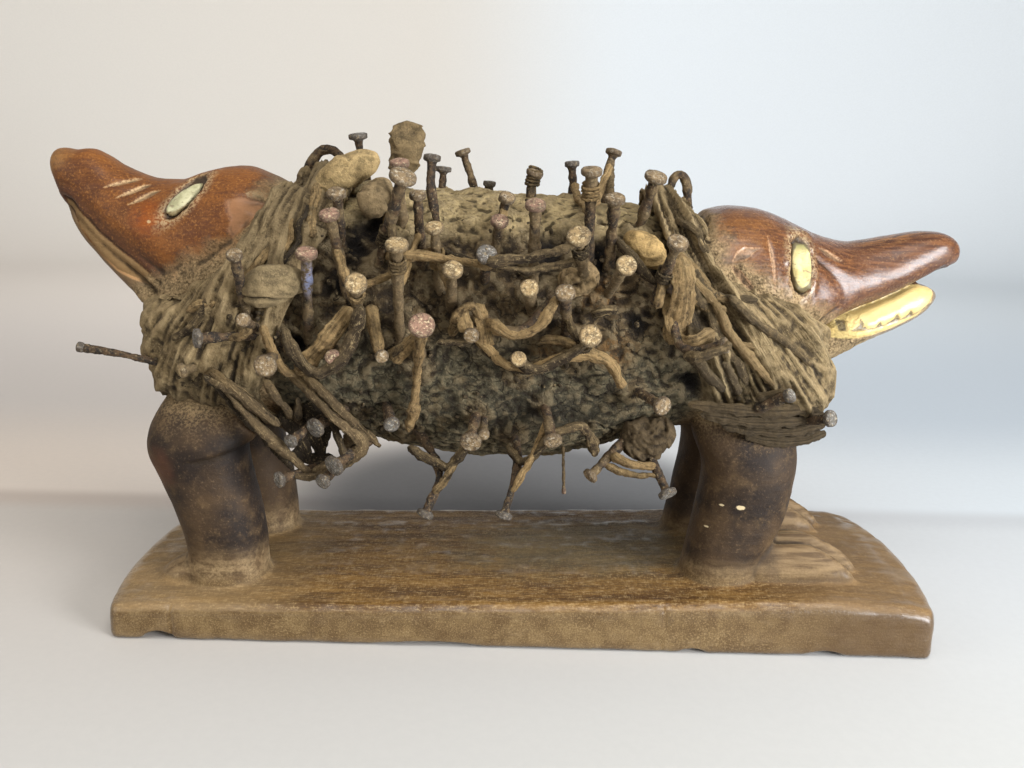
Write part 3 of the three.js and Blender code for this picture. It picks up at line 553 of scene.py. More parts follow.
def depth_inside(points, outline):
    """Distance in the side view from a closed outline, positive inside it."""
    corners = np.array(outline, dtype=float)
    inside = np.zeros(len(points), dtype=bool)
    for start, end in zip(corners, np.roll(corners, -1, axis=0)):
        spans = (start[1] > points[:, 1]) != (end[1] > points[:, 1])
        rise = end[1] - start[1] if end[1] != start[1] else 1e-9
        crossing = start[0] + (points[:, 1] - start[1]) * (end[0] - start[0]) / rise
        inside ^= spans & (points[:, 0] < crossing)
    distance = distance_to_line(points, np.vstack([corners, corners[:1]]))
    return np.where(inside, distance, -distance)


# Mesh helpers

def rings_to_faces(rings, count):
    """Quads between rings of equal count, and a pole over each end."""
    grid = np.arange(rings * count).reshape(rings, count)
    turned = np.roll(grid, -1, axis=1)
    quads = np.stack([grid[:-1], turned[:-1], turned[1:], grid[1:]], axis=-1).reshape(-1, 4)
    first, last = rings * count, rings * count + 1
    near = [(first, int(b), int(a)) for a, b in zip(grid[0], turned[0])]
    far = [(last, int(a), int(b)) for a, b in zip(grid[-1], turned[-1])]
    return quads.tolist() + near + far


def closed_skin(rings):
    """Points and faces of a closed skin through an array of rings."""
    rings = np.asarray(rings, dtype=float)
    poles = [rings[0].mean(axis=0), rings[-1].mean(axis=0)]
    return np.vstack([rings.reshape(-1, 3), poles]), rings_to_faces(*rings.shape[:2])


def joined(parts):
    """One list of points and one of faces from several closed skins."""
    points, faces, shift = [], [], 0
    for part_points, part_faces in parts:
        points.append(part_points)
        faces += [tuple(corner + shift for corner in face) for face in part_faces]
        shift += len(part_points)
    return np.vstack(points), faces


def make_object(name, points, faces, edges=()):
    mesh = bpy.data.meshes.new(name)
    mesh.from_pydata((np.asarray(points) * MM).tolist(), list(edges), faces)
    if faces:
        loose = bmesh.new()
        loose.from_mesh(mesh)
        bmesh.ops.recalc_face_normals(loose, faces=loose.faces)
        loose.to_mesh(mesh)
        loose.free()
    made = bpy.data.objects.new(name, mesh)
    bpy.context.scene.collection.objects.link(made)
    return made


def settle(made):
    """Turns an object's modifiers into its plain mesh."""
    depsgraph = bpy.context.evaluated_depsgraph_get()
    mesh = bpy.data.meshes.new_from_object(made.evaluated_get(depsgraph))
    made.modifiers.clear()
    made.data = mesh
    mesh.name = made.name
    return made


def remesh(made, voxel):
    skin = made.modifiers.new("skin", "REMESH")
    skin.mode = "VOXEL"
    skin.voxel_size = voxel * MM
    return settle(made)


def thin_out(made, triangles):
    """Collapses short edges until about the given number of triangles is left."""
    made.data.calc_loop_triangles()
    thin = made.modifiers.new("thin", "DECIMATE")
    thin.ratio = min(1.0, triangles / len(made.data.loop_triangles))
    return settle(made)


def read_points(made):
    flat = np.empty(len(made.data.vertices) * 3, dtype=np.float32)
    made.data.vertices.foreach_get("co", flat)
    return flat.reshape(-1, 3).astype(float) / MM


def write_points(made, points):
    made.data.vertices.foreach_set("co", (points * MM).astype(np.float32).ravel())
    made.data.update()


def read_normals(made):
    flat = np.empty(len(made.data.vertices) * 3, dtype=np.float32)
    made.data.vertex_normals.foreach_get("vector", flat)
    return flat.reshape(-1, 3).astype(float)


def read_edges(made):
    flat = np.empty(len(made.data.edges) * 2, dtype=np.int32)
    made.data.edges.foreach_get("vertices", flat)
    return flat.reshape(-1, 2)


def relax(points, edges, rounds, weight=1.0):
    """Moves each point towards the middle of its neighbours, by up to the weight given for it."""
    count = len(points)
    degree = np.maximum(np.bincount(edges.ravel(), minlength=count), 1)[:, None]
    weight = np.broadcast_to(np.asarray(weight, dtype=float), (count,))[:, None]
    for _ in range(rounds):
        total = np.stack([
            np.bincount(edges[:, 0], points[edges[:, 1], axis], count)
            + np.bincount(edges[:, 1], points[edges[:, 0], axis], count)
            for axis in range(3)
        ], axis=1)
        points = points + weight * 0.6 * (total / degree - points)
    return points


def store(made, name, values):
    """Keeps a number for each vertex, which a material or a node tree reads by name."""
    attribute = made.data.attributes.new(name, "FLOAT", "POINT")
    attribute.data.foreach_set("value", np.ascontiguousarray(values, dtype=np.float32))


def store_all(made, marks):
    for name, values in marks.items():
        store(made, name, values)


def read_hollows(made, rounds):
    """Points and normals of a mesh, and how deep each point lies in fine hollows and in broad ones."""
    points, edges, normals = read_points(made), read_edges(made), read_normals(made)
    soft = relax(points, edges, rounds)
    broad = relax(soft, edges, 50)
    return points, normals, ((soft - points) * normals).sum(axis=1), ((broad - points) * normals).sum(axis=1)


def finish_piece(made, material, slot, *nodes):
    """Smooth shading, the material, the body and the CAD nodes that the piece stands for. The slot is not
    used.
    """
    made.data.materials.clear()
    made.data.materials.append(material)
    made.data.polygons.foreach_set("use_smooth", [True] * len(made.data.polygons))
    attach(made, BODY)
    if nodes:
        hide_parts(*nodes)
    return made


# Node trees

class Socket:
    """An output in a node tree. Python arithmetic on it adds Math nodes."""

    def __init__(self, net, socket):
        self.net = net
        self.socket = socket

    def math(self, operation, *others):
        return self.net.node("ShaderNodeMath", {"operation": operation}, [self, *others])

    def __add__(self, other):
        return self.math("ADD", other)

    __radd__ = __add__

    def __sub__(self, other):
        return self.math("SUBTRACT", other)

    def __rsub__(self, other):
        return self.net.node("ShaderNodeMath", {"operation": "SUBTRACT"}, [other, self])

    def __mul__(self, other):
        return self.math("MULTIPLY", other)

    __rmul__ = __mul__

    def __truediv__(self, other):
        return self.math("DIVIDE", other)

    def __rtruediv__(self, other):
        return self.net.node("ShaderNodeMath", {"operation": "DIVIDE"}, [other, self])

    def between(self, low, high):
        """Runs smoothly from 0 at low to 1 at high."""
        smooth = {"interpolation_type": "SMOOTHSTEP"}
        return self.net.node("ShaderNodeMapRange", smooth, [self, low, high, 0.0, 1.0])

    def coated(self, mask, tint):
        """This colour where the mask is 0 and the tint where it is 1."""
        return self.net.blend(mask, self, tint)

    def coats(self, rows):
        """This colour under coats, each laid by its share where a pattern runs from low to high."""
        colour = self
        for pattern, low, high, share, tint in rows:
            colour = colour.coated(pattern.between(low, high) * share, tint)
        return colour


class Net:
    """A node tree and the one method that adds a node to it."""

    def __init__(self, tree):
        self.tree = tree

    def node(self, kind, settings=None, inputs=(), output=0):
        made = self.tree.nodes.new(kind)
        for name, value in (settings or {}).items():
            setattr(made, name, value)
        pairs = inputs.items() if isinstance(inputs, dict) else enumerate(inputs)
        for key, value in pairs:
            self.feed(made.inputs[key], value)
        return Socket(self, made.outputs[output])

    def feed(self, target, value):
        if isinstance(value, Socket):
            self.tree.links.new(value.socket, target)
        else:
            target.default_value = value

    def vector(self, operation, *inputs, output=0):
        return self.node("ShaderNodeVectorMath", {"operation": operation}, inputs, output)

    def scaled(self, vector, factor):
        return self.node("ShaderNodeVectorMath", {"operation": "SCALE"}, {"Vector": vector, "Scale": factor})

    def texture(self, place, scale, detail, roughness=0.5, output="Fac"):
        inputs = {"Vector": place, "Scale": scale, "Detail": detail, "Roughness": roughness}
        return self.node("ShaderNodeTexNoise", {}, inputs, output)


class Finish(Net):
    """A material. Its patterns lie on Object coordinates, counted here in millimetres."""

    def __init__(self, name):
        self.material = bpy.data.materials.new(name)
        self.material.use_nodes = True
        super().__init__(self.material.node_tree)
        self.shader = self.tree.nodes["Principled BSDF"]
        self.place = self.scaled(self.node("ShaderNodeTexCoord", output="Object"), 1 / MM)
        split = [self.node("ShaderNodeSeparateXYZ", {}, [self.place], axis) for axis in "XYZ"]
        self.x, self.y, self.z = split

    def value(self, name):
        return self.node("ShaderNodeAttribute", {"attribute_name": name}, output="Fac")

    def noise(self, size, detail=3.0, roughness=0.55):
        """Noise from 0 to 1 whose features are as large as size, a number or one for each axis."""
        size = size if isinstance(size, tuple) else (size, size, size)
        return self.texture(self.vector("DIVIDE", self.place, size), 1.0, detail, roughness)

    def cracks(self, size, width):
        """1 in the cracks between plates about as large as size, and 0 on the plates."""
        bent = self.texture(self.place, 0.2, 2.0, output="Color")
        moved = self.vector("MULTIPLY_ADD", bent, (7.0, 7.0, 7.0), self.place)
        inputs = {"Vector": self.vector("DIVIDE", moved, size), "Scale": 1.0}
        edge = self.node("ShaderNodeTexVoronoi", {"feature": "DISTANCE_TO_EDGE"}, inputs)
        return edge.between(width, 0.0)

    def spot(self, place, size, ragged, sharp=0.2):
        """1 inside a rounded region of the given half sizes and 0 outside it, on the front and the back."""
        mirrored = self.node("ShaderNodeSeparateXYZ", {}, [self.vector("ABSOLUTE", self.place)], "Y")
        there = self.node("ShaderNodeCombineXYZ", {}, [self.x, mirrored, self.z])
        shares = self.vector("DIVIDE", self.vector("SUBTRACT", there, place), size)
        distance = self.vector("LENGTH", shares, output="Value")
        return (distance + (ragged - 0.5) * 0.9).between(1.0, sharp)

    def blend(self, factor, first, second):
        """The first colour where factor is 0 and the second where it is 1."""
        colours = [value if isinstance(value, Socket) else (*value, 1.0) for value in (first, second)]
        return self.node("ShaderNodeMix", {"data_type": "RGBA"}, {0: factor, 6: colours[0], 7: colours[1]}, 2)

    def bump(self, height, distance, normal=None):
        """A surface raised by height, from 0 to 1, times a distance in millimetres."""
        inputs = {"Height": height, "Distance": distance * MM, "Strength": 1.0}
        if normal is not None:
            inputs["Normal"] = normal
        return self.node("ShaderNodeBump", {}, inputs)

    def show(self, **sockets):
        for name, value in sockets.items():
            self.feed(self.shader.inputs[name.replace("_", " ")], value)
        return self.material


# Camera, stage and light

def camera_axes():
    """Right, up and forward of the camera."""
    yaw, pitch, roll = (math.radians(angle) for angle in (CAMERA_YAW, CAMERA_PITCH, CAMERA_ROLL))
    ahead = Vector((-math.sin(yaw), math.cos(yaw), 0))
    across = Vector((math.cos(yaw), math.sin(yaw), 0))
    above = Vector((0, 0, 1))
    forward = ahead * math.cos(pitch) - above * math.sin(pitch)
    upward = above * math.cos(pitch) + ahead * math.sin(pitch)
    right = across * math.cos(roll) + upward * math.sin(roll)
    return right, upward * math.cos(roll) - across * math.sin(roll), forward


def place_camera():
    right, up, forward = camera_axes()
    camera = bpy.data.objects.new("camera", bpy.data.cameras.new("camera"))
    camera.data.lens = CAMERA_LENS
    camera.data.sensor_width = SENSOR_WIDTH
    turn = Matrix((right, up, -forward)).transposed().to_4x4()
    camera.matrix_world = Matrix.Translation(Vector(CAMERA_PLACE) * MM) @ turn
    bpy.context.scene.collection.objects.link(camera)
    bpy.context.scene.camera = camera


def add_soft_light(name, place, size, power, colour, aim=(0, 0, 0.13)):
    light = bpy.data.lights.new(name, "AREA")
    light.shape = "RECTANGLE"
    light.size, light.size_y = size
    light.energy = power
    light.color = colour
    lamp = bpy.data.objects.new(name, light)
    lamp.location = place
    lamp.rotation_euler = (Vector(aim) - Vector(place)).to_track_quat("-Z", "Y").to_euler()
    bpy.context.scene.collection.objects.link(lamp)


def make_stage():
    """A pale floor that curves up into a low wall all round, with light and shade painted on it."""
    flat, curve, wall = 2000.0, 900.0, 1900.0
    bend = [(flat + curve * math.sin(a), curve * (1 - math.cos(a))) for a in np.linspace(0, math.pi / 2, 24)]
    run = [(400.0, 0.0), *bend, (flat + curve, wall)]
    turn = np.linspace(0, math.tau, 96, endpoint=False)
    rings = np.array([[(r * math.cos(a), r * math.sin(a), z - 0.4) for a in turn] for r, z in run])
    points, faces = closed_skin(rings)
    open_above = [face for face in faces if len(points) - 1 not in face]
    stage = make_object("floor", points, open_above)
    finish = Finish("pale_floor")
    speckle = finish.noise(5.0, 3.0, 0.7)
    # Painted light: warmer at the left and cooler at the right
    to_right = finish.x.between(-420, 420)
    colour = finish.blend(to_right, (0.53, 0.512, 0.485), (0.53, 0.535, 0.517))
    # Bands of painted light and shade, from the front to the back
    for start, end, left, right in STAGE_LIGHT_AND_SHADE:
        tone = finish.blend(to_right, left, right)
        colour = colour.coated((finish.y + 6 * (speckle - 0.5)).between(start, end), tone)
    across = (finish.x - SHADE_PLACE[0]) / SHADE_SIZE[0]
    back = (finish.y - SHADE_PLACE[1]) / SHADE_SIZE[1]
    shade = (across * across + back * back).between(1.25, 0.4)
    colour = colour.coated(shade * 0.85, (0.07, 0.072, 0.078))
    colour = colour.coated(speckle.between(0.3, 0.7) * 0.05, (0.3, 0.3, 0.3))
    stage.data.materials.append(finish.show(Base_Color=colour, Roughness=0.85))
    stage.data.polygons.foreach_set("use_smooth", [True] * len(stage.data.polygons))


def light_scene():
    bpy.context.scene.view_settings.view_transform = "Standard"
    world = bpy.data.worlds.new("studio")
    world.use_nodes = True
    background = world.node_tree.nodes["Background"]
    background.inputs["Color"].default_value = (0.96, 0.98, 1.0, 1)
    background.inputs["Strength"].default_value = 0.44
    bpy.context.scene.world = world
    add_soft_light("window", (0.15, -0.85, 1.5), (1.3, 0.9), 20, (1.0, 0.985, 0.95))
    add_soft_light("left_window", (-1.3, -0.6, 0.7), (0.8, 0.8), 4, (1.0, 0.93, 0.85))
    add_soft_light("right_window", (1.0, -0.85, 0.34), (0.5, 0.56), 30, (0.95, 0.97, 1.0))
    add_soft_light("wall_wash", (0, 0.8, 1.3), (1.6, 0.6), 18, (1.0, 1.0, 1.0), (0, 2.9, 0.5))


# Places in the side view

def half_width(rows, fullness, x, z):
    """Distance of a body's flank from the middle plane at a place in the side view, or 0 outside the body."""
    table = np.array(sorted(rows), dtype=float)
    if not table[0, 0] < x < table[-1, 0]:
        return 0.0
    top, under, half, narrowing = (np.interp(x, table[:, 0], table[:, k]) for k in range(1, 5))
    up = (2 * z - top - under) / (top - under)
    if abs(up) >= 1:
        return 0.0
    return float(half * (1 - narrowing * up) * (1 - abs(up) ** fullness) ** (1 / fullness))


def beside_edge(places, edge):
    """Distance of places in the side view from an edge line, positive on the side that the rag covers."""
    start, end, side = edge
    run, rise = end[0] - start[0], end[1] - start[1]
    across = (places[:, 0] - start[0]) * rise - (places[:, 1] - start[1]) * run
    return side * across / math.hypot(run, rise)


def collar_clearance(places, edges):
    """How far places in the side view lie inside a collar's edges."""
    towards_head = np.maximum(*[beside_edge(places, edge) for edge in edges["head"]])
    return np.minimum(towards_head, beside_edge(places, edges["trunk"]))


def clearance_of_collars(places):
    """How far places in the side view lie inside the nearest collar's edges."""
    return np.maximum(*[collar_clearance(places, edges) for _, edges, *_ in COLLARS.values()])


def front_depth(x, z):
    """How far the wood or the rag stands out from the middle plane at a place in the side view."""
    depth = half_width(TRUNK, BODY_FULLNESS, x, z)
    for rows, edges, *_ in COLLARS.values():
        if collar_clearance(np.array([(x, z)]), edges)[0] > 0:
            depth = max(depth, half_width(rows, BODY_FULLNESS, x, z))
    return depth


def seen_at(u, v, lift):
    """The place seen at a pixel of the photograph, by its lift off the body, or its Y if that is negative."""
    right, up, forward = camera_axes()
    focus = CAMERA_LENS / SENSOR_WIDTH * PHOTO_SIZE[0]
    ray = forward * focus + right * (u - PHOTO_SIZE[0] / 2) - up * (v - PHOTO_SIZE[1] / 2)
    start = Vector(CAMERA_PLACE)
    y = lift if lift < 0 else -60.0
    place = start
    for _ in range(14):
        place = start + ray * ((y - start.y) / ray.y)
        if lift >= 0:
            y = (y - front_depth(place.x, place.z) - lift) / 2
    return np.array(place)


# Carved figure

def sections_along_x(rows, fullness, sides=120, step=1.5):
    table = smooth_rows(rows, step)
    angle = np.linspace(0, math.tau, sides, endpoint=False)
    across = signed_power(np.cos(angle), 2 / fullness)
    up = signed_power(np.sin(angle), 2 / fullness)
    x, top, under, half, narrowing = (table[:, k, None] for k in range(5))
    y = half * (1 - narrowing * up) * across
    z = (top + under) / 2 + (top - under) / 2 * up
    return closed_skin(np.stack([np.broadcast_to(x, y.shape), y, z], axis=-1))


def leg_skin(rows, side):
    table = smooth_rows(rows, 1.5)
    angle = np.linspace(0, math.tau, 96, endpoint=False)
    z, x, half_x, half_y, shift = (table[:, k, None] for k in range(5))
    px = x + half_x * signed_power(np.cos(angle), 0.9)
    py = side * (LEG_OFFSET - shift) + half_y * signed_power(np.sin(angle), 0.9)
    return closed_skin(np.stack([px, py, np.broadcast_to(z, px.shape)], axis=-1))


def foot_skins(foot, side):
    toes, start, rows = foot
    angle = np.linspace(0, math.tau, 32, endpoint=False)
    skins = []
    for toe in range(toes):
        spread = toe - (toes - 1) / 2
        table = smooth_rows(rows, 1.5)
        x, top, half = (table[:, k, None] for k in range(3))
        middle = side * LEG_OFFSET + spread * TOE_PITCH * (0.75 + 0.0035 * np.abs(x - start))
        height = top - FOOT_FLOOR - 2.5 * abs(spread)
        px = start + (x - start) * (1 - 0.05 * abs(spread)) + 0 * angle
        py = middle + half * np.cos(angle)
        pz = FOOT_FLOOR + np.maximum(np.sin(angle), -0.2) * height
        skins.append(closed_skin(np.stack([px, py, pz], axis=-1)))
    return skins


def plinth_edge_height(x):
    table = np.array(PLINTH_EDGE, dtype=float)
    return np.interp(x, table[:, 0], table[:, 1])


def plinth_skin():
    rings, rounding = [], PLINTH_EDGE_ROUND
    for x in np.linspace(-PLINTH_HALF_LENGTH, PLINTH_HALF_LENGTH, 275):
        end = x / PLINTH_HALF_LENGTH
        closing = max(0.0, (abs(end) - 0.985) / 0.015)
        half = PLINTH_HALF_DEPTH - 5 * closing ** 2
        edge = plinth_edge_height(x) - 3 * closing ** 2
        crown = edge + PLINTH_DOME
        outline = np.array([
            (-half + 1.5, 0), (-half, 2), (-half, edge - rounding), (-half + rounding, edge),
            (-half * 0.5, crown - 0.5), (0, crown), (half * 0.5, crown - 0.5),
            (half - rounding, edge), (half, edge - rounding), (half, 2), (half - 1.5, 0), (0, 0),
        ])
        outline = np.vstack([outline, outline[:1]])
        run = np.concatenate([[0], np.cumsum(np.linalg.norm(np.diff(outline, axis=0), axis=1))])
        at = np.linspace(0, run[-1], 160, endpoint=False)
        y, z = np.interp(at, run, outline[:, 0]), np.interp(at, run, outline[:, 1])
        bow = PLINTH_END_BOW * (1 - (y / PLINTH_HALF_DEPTH) ** 2) * abs(end) ** 3
        rings.append(np.stack([x + np.sign(end) * bow, y, z], axis=-1))
    return closed_skin(rings)


def figure_zones(points):
    """How much of the plinth, the legs, the two heads and the trunk there is at each point."""
    x, _, z = points.T
    wander = 3 * noise(points, 14, 40)
    plinth = 1 - ease(z + 0.5 * wander - plinth_edge_height(x), 3, 8)
    left = 1 - ease(x + wander, -128, -116)
    right = ease(x + wander, 82, 92)
    low = 1 - ease(z, 108, 122)
    legs = low * np.maximum(1 - ease(x, -126, -118), ease(x, 74, 84)) * (1 - plinth)
    heads = np.maximum(left, right) * (1 - low) * (1 - plinth)
    return plinth, legs, heads * (left > 0.01), heads * (right > 0.01), 1 - plinth - legs - heads


def chip_lower_edge(points):
    """Raises the underside into the worn hollows of the front edge."""
    raised = points.copy()
    for x, half_length, height, depth in PLINTH_CHIPS:
        along, inward = (points[:, 0] - x) / half_length, (points[:, 1] + PLINTH_HALF_DEPTH) / depth
        reach = 1 - along ** 2 - inward ** 2
        roof = height * np.sqrt(np.clip(reach, 0, 1))
        raised[:, 2] = np.maximum(raised[:, 2], roof)
    return raised


def shaded_hollows(points):
    """From 0 to 1 in the deep hollows between the packets and nails of the front, where shade is painted near
    black.
    """
    side_view = points[:, [0, 2]]
    depth = np.zeros(len(points))
    for u, v, radius in SHADED_HOLLOWS:
        middle = seen_at(u, v, 0)[[0, 2]]
        spread = np.linalg.norm(side_view - middle, axis=1) + 2.5 * noise(points, 6, 91)
        depth = np.maximum(depth, 1 - ease(spread, 0.2 * radius, 1.4 * radius))
    return depth * ease(-points[:, 1], 5, 20)


def nail_mounds(points):
    """Mud heaped round the feet of the nails, from 0 to 1."""
    heap = np.zeros(len(points))
    for shank, _, _, foot, *_ in EVERY_NAIL:
        distance = np.linalg.norm(points - np.array(foot), axis=1) + 2.0 * noise(points, 5, 92)
        heap = np.maximum(heap, 1 - ease(distance, 2 * shank, 5 * shank))
    return heap


def tooth_gap_depth(side_view):
    """Distance from the outline of the nearest painted tooth gap, positive inside it."""
    return np.max([depth_inside(side_view, outline) for outline in RIGHT_TEETH], axis=0)


def cut_depth(side_view):
    """Distance from the outline of the nearest cut, positive inside it. The cuts end in points."""
    depths = []
    for width, *line in LEFT_CUTS + RIGHT_CUTS:
        points = np.array(line, dtype=float)
        along = (points[-1] - points[0]) / np.linalg.norm(points[-1] - points[0])
        across = np.array((-along[1], along[0])) * width / 2
        outline = [points[0], *(points[1:-1] + across), points[-1], *(points[-2:0:-1] - across)]
        depths.append(depth_inside(side_view, outline))
    return np.max(depths, axis=0)


def carve_heads(points, flank):
    """Lips, teeth, cuts and ears, as heights along the normals."""
    side_view = points[:, [0, 2]]
    height = -0.35 * beside_line(side_view, LEFT_BAND_FOOT, 0.9)
    height -= 0.5 * beside_line(side_view, RIGHT_BAND_FOOT, 0.8)
    lips = np.minimum(distance_to_line(side_view, LEFT_LIP), distance_to_line(side_view, RIGHT_LIP))
    height += 0.7 * np.exp(-((lips - 2.5) / 1.6) ** 2) - 0.7 * np.exp(-(lips / 0.9) ** 2)
    height -= 0.9 * ease(tooth_gap_depth(side_view), -0.6, 0.6)
    height -= 0.6 * beside_line(side_view, MOUTH_LINE, 0.8)
    height -= 0.8 * ease(cut_depth(side_view), -0.6, 0.8)
    ear = depth_inside(side_view, LEFT_EAR)
    height -= 0.8 * ease(ear, -1.5, 1.5) * (1 - 0.8 * ease(ear, 1.5, 7))
    height -= 1.2 * beside_line(side_view, LEFT_CREASE, 1.8)
    height += 1.2 * beside_line(side_view, LEFT_BROW, 3.0)
    height += beside_line(side_view, RIGHT_BROW, 3.0)
    eye = eye_distance(points) + 0.08 * noise(points, 2.5, 43)
    height -= 1.7 * (1 - ease(eye, 1.04, 1.2))
    height += 0.7 * np.exp(-((eye - 1.5) / 0.28) ** 2) * (0.5 + noise(points, 2.5, 44))
    near_collar = ease(clearance_of_collars(side_view), -20, 2)
    height += near_collar * (0.4 + 1.5 * rough_noise(points, (8, 8, 6), 4, 61))
    return height * flank


def carve(points, normals):
    """Carved lines, worn facets and the crust, as heights along the normals."""
    side_view = points[:, [0, 2]]
    x, y, z = points.T
    plinth, legs, left, right, trunk = figure_zones(points)
    flank = ease(np.abs(normals[:, 1]), 0.2, 0.5)
    height = 0.35 * rough_noise(points, 16, 2, 3) * (1 - trunk) + 0.12 * noise(points, 4, 9)
    height += carve_heads(points, flank) * (left + right)

    knee_x, knee_z = np.array(KNEE_CREASE, dtype=float).T
    below_knee = np.interp(x, knee_x, knee_z) - z
    knee = ease(x, -172, -158) * (x < -120) * legs
    height -= 3.0 * ease(below_knee, -0.6, 1.2) * np.exp(-np.maximum(below_knee, 0) / 14) * knee
    height += 1.2 * np.exp(-((below_knee + 4) / 4) ** 2) * knee

    crust = 2.0 * rough_noise(points, (20, 14, 13), 3, 11) + 1.0 * rough_noise(points, (6, 6, 4.5), 2, 12)
    crust += 0.8 * noise(points, 2.2, 13)
    cracks = np.abs(noise(points + 4 * noise(points, 7, 5)[:, None], (18, 14, 13), 21))
    crust -= 1.3 * (1 - ease(cracks, 0.0, 0.1)) * ease(noise(points, 30, 23), -0.3, 0.2)
    crust += 3.0 * nail_mounds(points) * (0.7 + 0.6 * noise(points, 4, 93))
    crust += 2.2 * ease(z, 150, 175) * noise(points, (9, 9, 7), 94)
    crust -= 5.0 * shaded_hollows(points)
    height += crust * trunk
    for row in (-0.5, 0.5):
        groove = np.abs(np.abs(y) - LEG_OFFSET - row * TOE_PITCH * (0.75 + 0.0035 * np.abs(x - 112)))
        on_toes = ease(x, 122, 132) * (z > plinth_edge_height(x) + 4) * (x < 178)
        height -= 1.2 * np.exp(-(groove / 1.6) ** 2) * on_toes
    height += 0.4 * rough_noise(points, (30, 9, 9), 3, 31) * plinth
    for scratch in PLINTH_SCRATCHES:
        height -= 0.6 * beside_line(side_view, scratch, 0.7) * ease(-y, 64, 67) * plinth
    return height


def carved_piece(name, skins, material, triangles):
    """Part of the carved figure, with its carving, its marks and its finish."""
    piece = remesh(make_object(name, *joined(skins)), FIGURE_VOXEL)
    points, edges = read_points(piece), read_edges(piece)
    points = relax(chip_lower_edge(points), edges, 5)
    x, y, z = points.T
    near_top = np.exp(-((z - plinth_edge_height(x) - 3) / 5) ** 2)
    near_feet = near_top * ease(PLINTH_HALF_DEPTH - np.abs(y), 4, 12)
    points = relax(points, edges, 3, near_feet)
    write_points(piece, points)
    normals = read_normals(piece)
    points = points + normals * carve(points, normals)[:, None]
    points[:, 2] = np.maximum(points[:, 2], 0)
    write_points(piece, points)
    thin_out(piece, triangles)
    store_figure_marks(piece)
    return finish_piece(piece, material, "carved_wood", "carved_figure")


def carved_figure():
    """The figure in two pieces that meet inside the trunk, so that both can be finely carved."""
    body = [
        sections_along_x(TRUNK, BODY_FULLNESS), sections_along_x(LEFT_HEAD, HEAD_FULLNESS),
        sections_along_x(LEFT_JAW, BODY_FULLNESS), sections_along_x(LEFT_MOUTH, BODY_FULLNESS),
        sections_along_x(RIGHT_HEAD, HEAD_FULLNESS), sections_along_x(RIGHT_JAW, BODY_FULLNESS),
    ]
    stand = [plinth_skin()]
    for side in (FRONT, BACK):
        stand += [leg_skin(LEFT_LEG, side), leg_skin(RIGHT_LEG, side)]
        stand += foot_skins(LEFT_FOOT, side) + foot_skins(RIGHT_FOOT, side)
    material = carved_wood()
    carved_piece("carved_body", body, material, BODY_TRIANGLES)
    carved_piece("carved_legs_and_plinth", stand, material, STAND_TRIANGLES)


def eye_distance(points):
    """Distance from the middle of the nearest eye, in the side view, where 1 is the eye's outline."""
    nearest = np.full(len(points), 9.0)
    for _, (x, z), half, turn, _ in EYES.values():
        along = (points[:, 0] - x) * math.cos(turn) + (points[:, 2] - z) * math.sin(turn)
        across = (points[:, 2] - z) * math.cos(turn) - (points[:, 0] - x) * math.sin(turn)
        nearest = np.minimum(nearest, np.hypot(along / half[0], across / half[2]))
    return nearest


def store_figure_marks(figure):
    points, normals, hollow, basin = read_hollows(figure, 12)
    side_view = points[:, [0, 2]]
    flank = ease(np.abs(normals[:, 1]), 0.1, 0.3)
    off = 9 * (1 - flank)
    plinth, legs, left, right, trunk = figure_zones(points)
    marks = {
        "plinth": plinth, "legs": legs, "left_head": left, "right_head": right, "trunk": trunk,
        "left_band": depth_inside(side_view, LEFT_LIP + LEFT_BAND_FOOT[::-1]) - off,
        "left_jaw": depth_inside(side_view, LEFT_BAND_FOOT + [(-150, 120), (-250, 120), (-250, 213)]) - off,
        "right_band": depth_inside(side_view, RIGHT_BAND_TOP + RIGHT_BAND_FOOT[::-1]) - off,
        "right_jaw": depth_inside(side_view, RIGHT_BAND_FOOT + [(230, 174), (230, 110), (140, 110)]) - off,
        "tooth_gaps": tooth_gap_depth(side_view) - off,
        "cuts": cut_depth(side_view) - off,
        "mouth": depth_inside(side_view, MOUTH_LINE + [(230, 240), (140, 240), (140, 156.9)]),
        "lips": np.minimum(
            distance_to_line(side_view, LEFT_LIP), distance_to_line(side_view, RIGHT_LIP)
        ) + off,
        "ear": depth_inside(side_view, LEFT_EAR) - off,
        "collar": -clearance_of_collars(side_view),
        "hollow": hollow,
        "basin": basin,
        "eye": eye_distance(points) + off,
        "upward": normals[:, 2],
        "dark": shaded_hollows(points),
        "mounds": nail_mounds(points),
    }
    store_all(figure, marks)


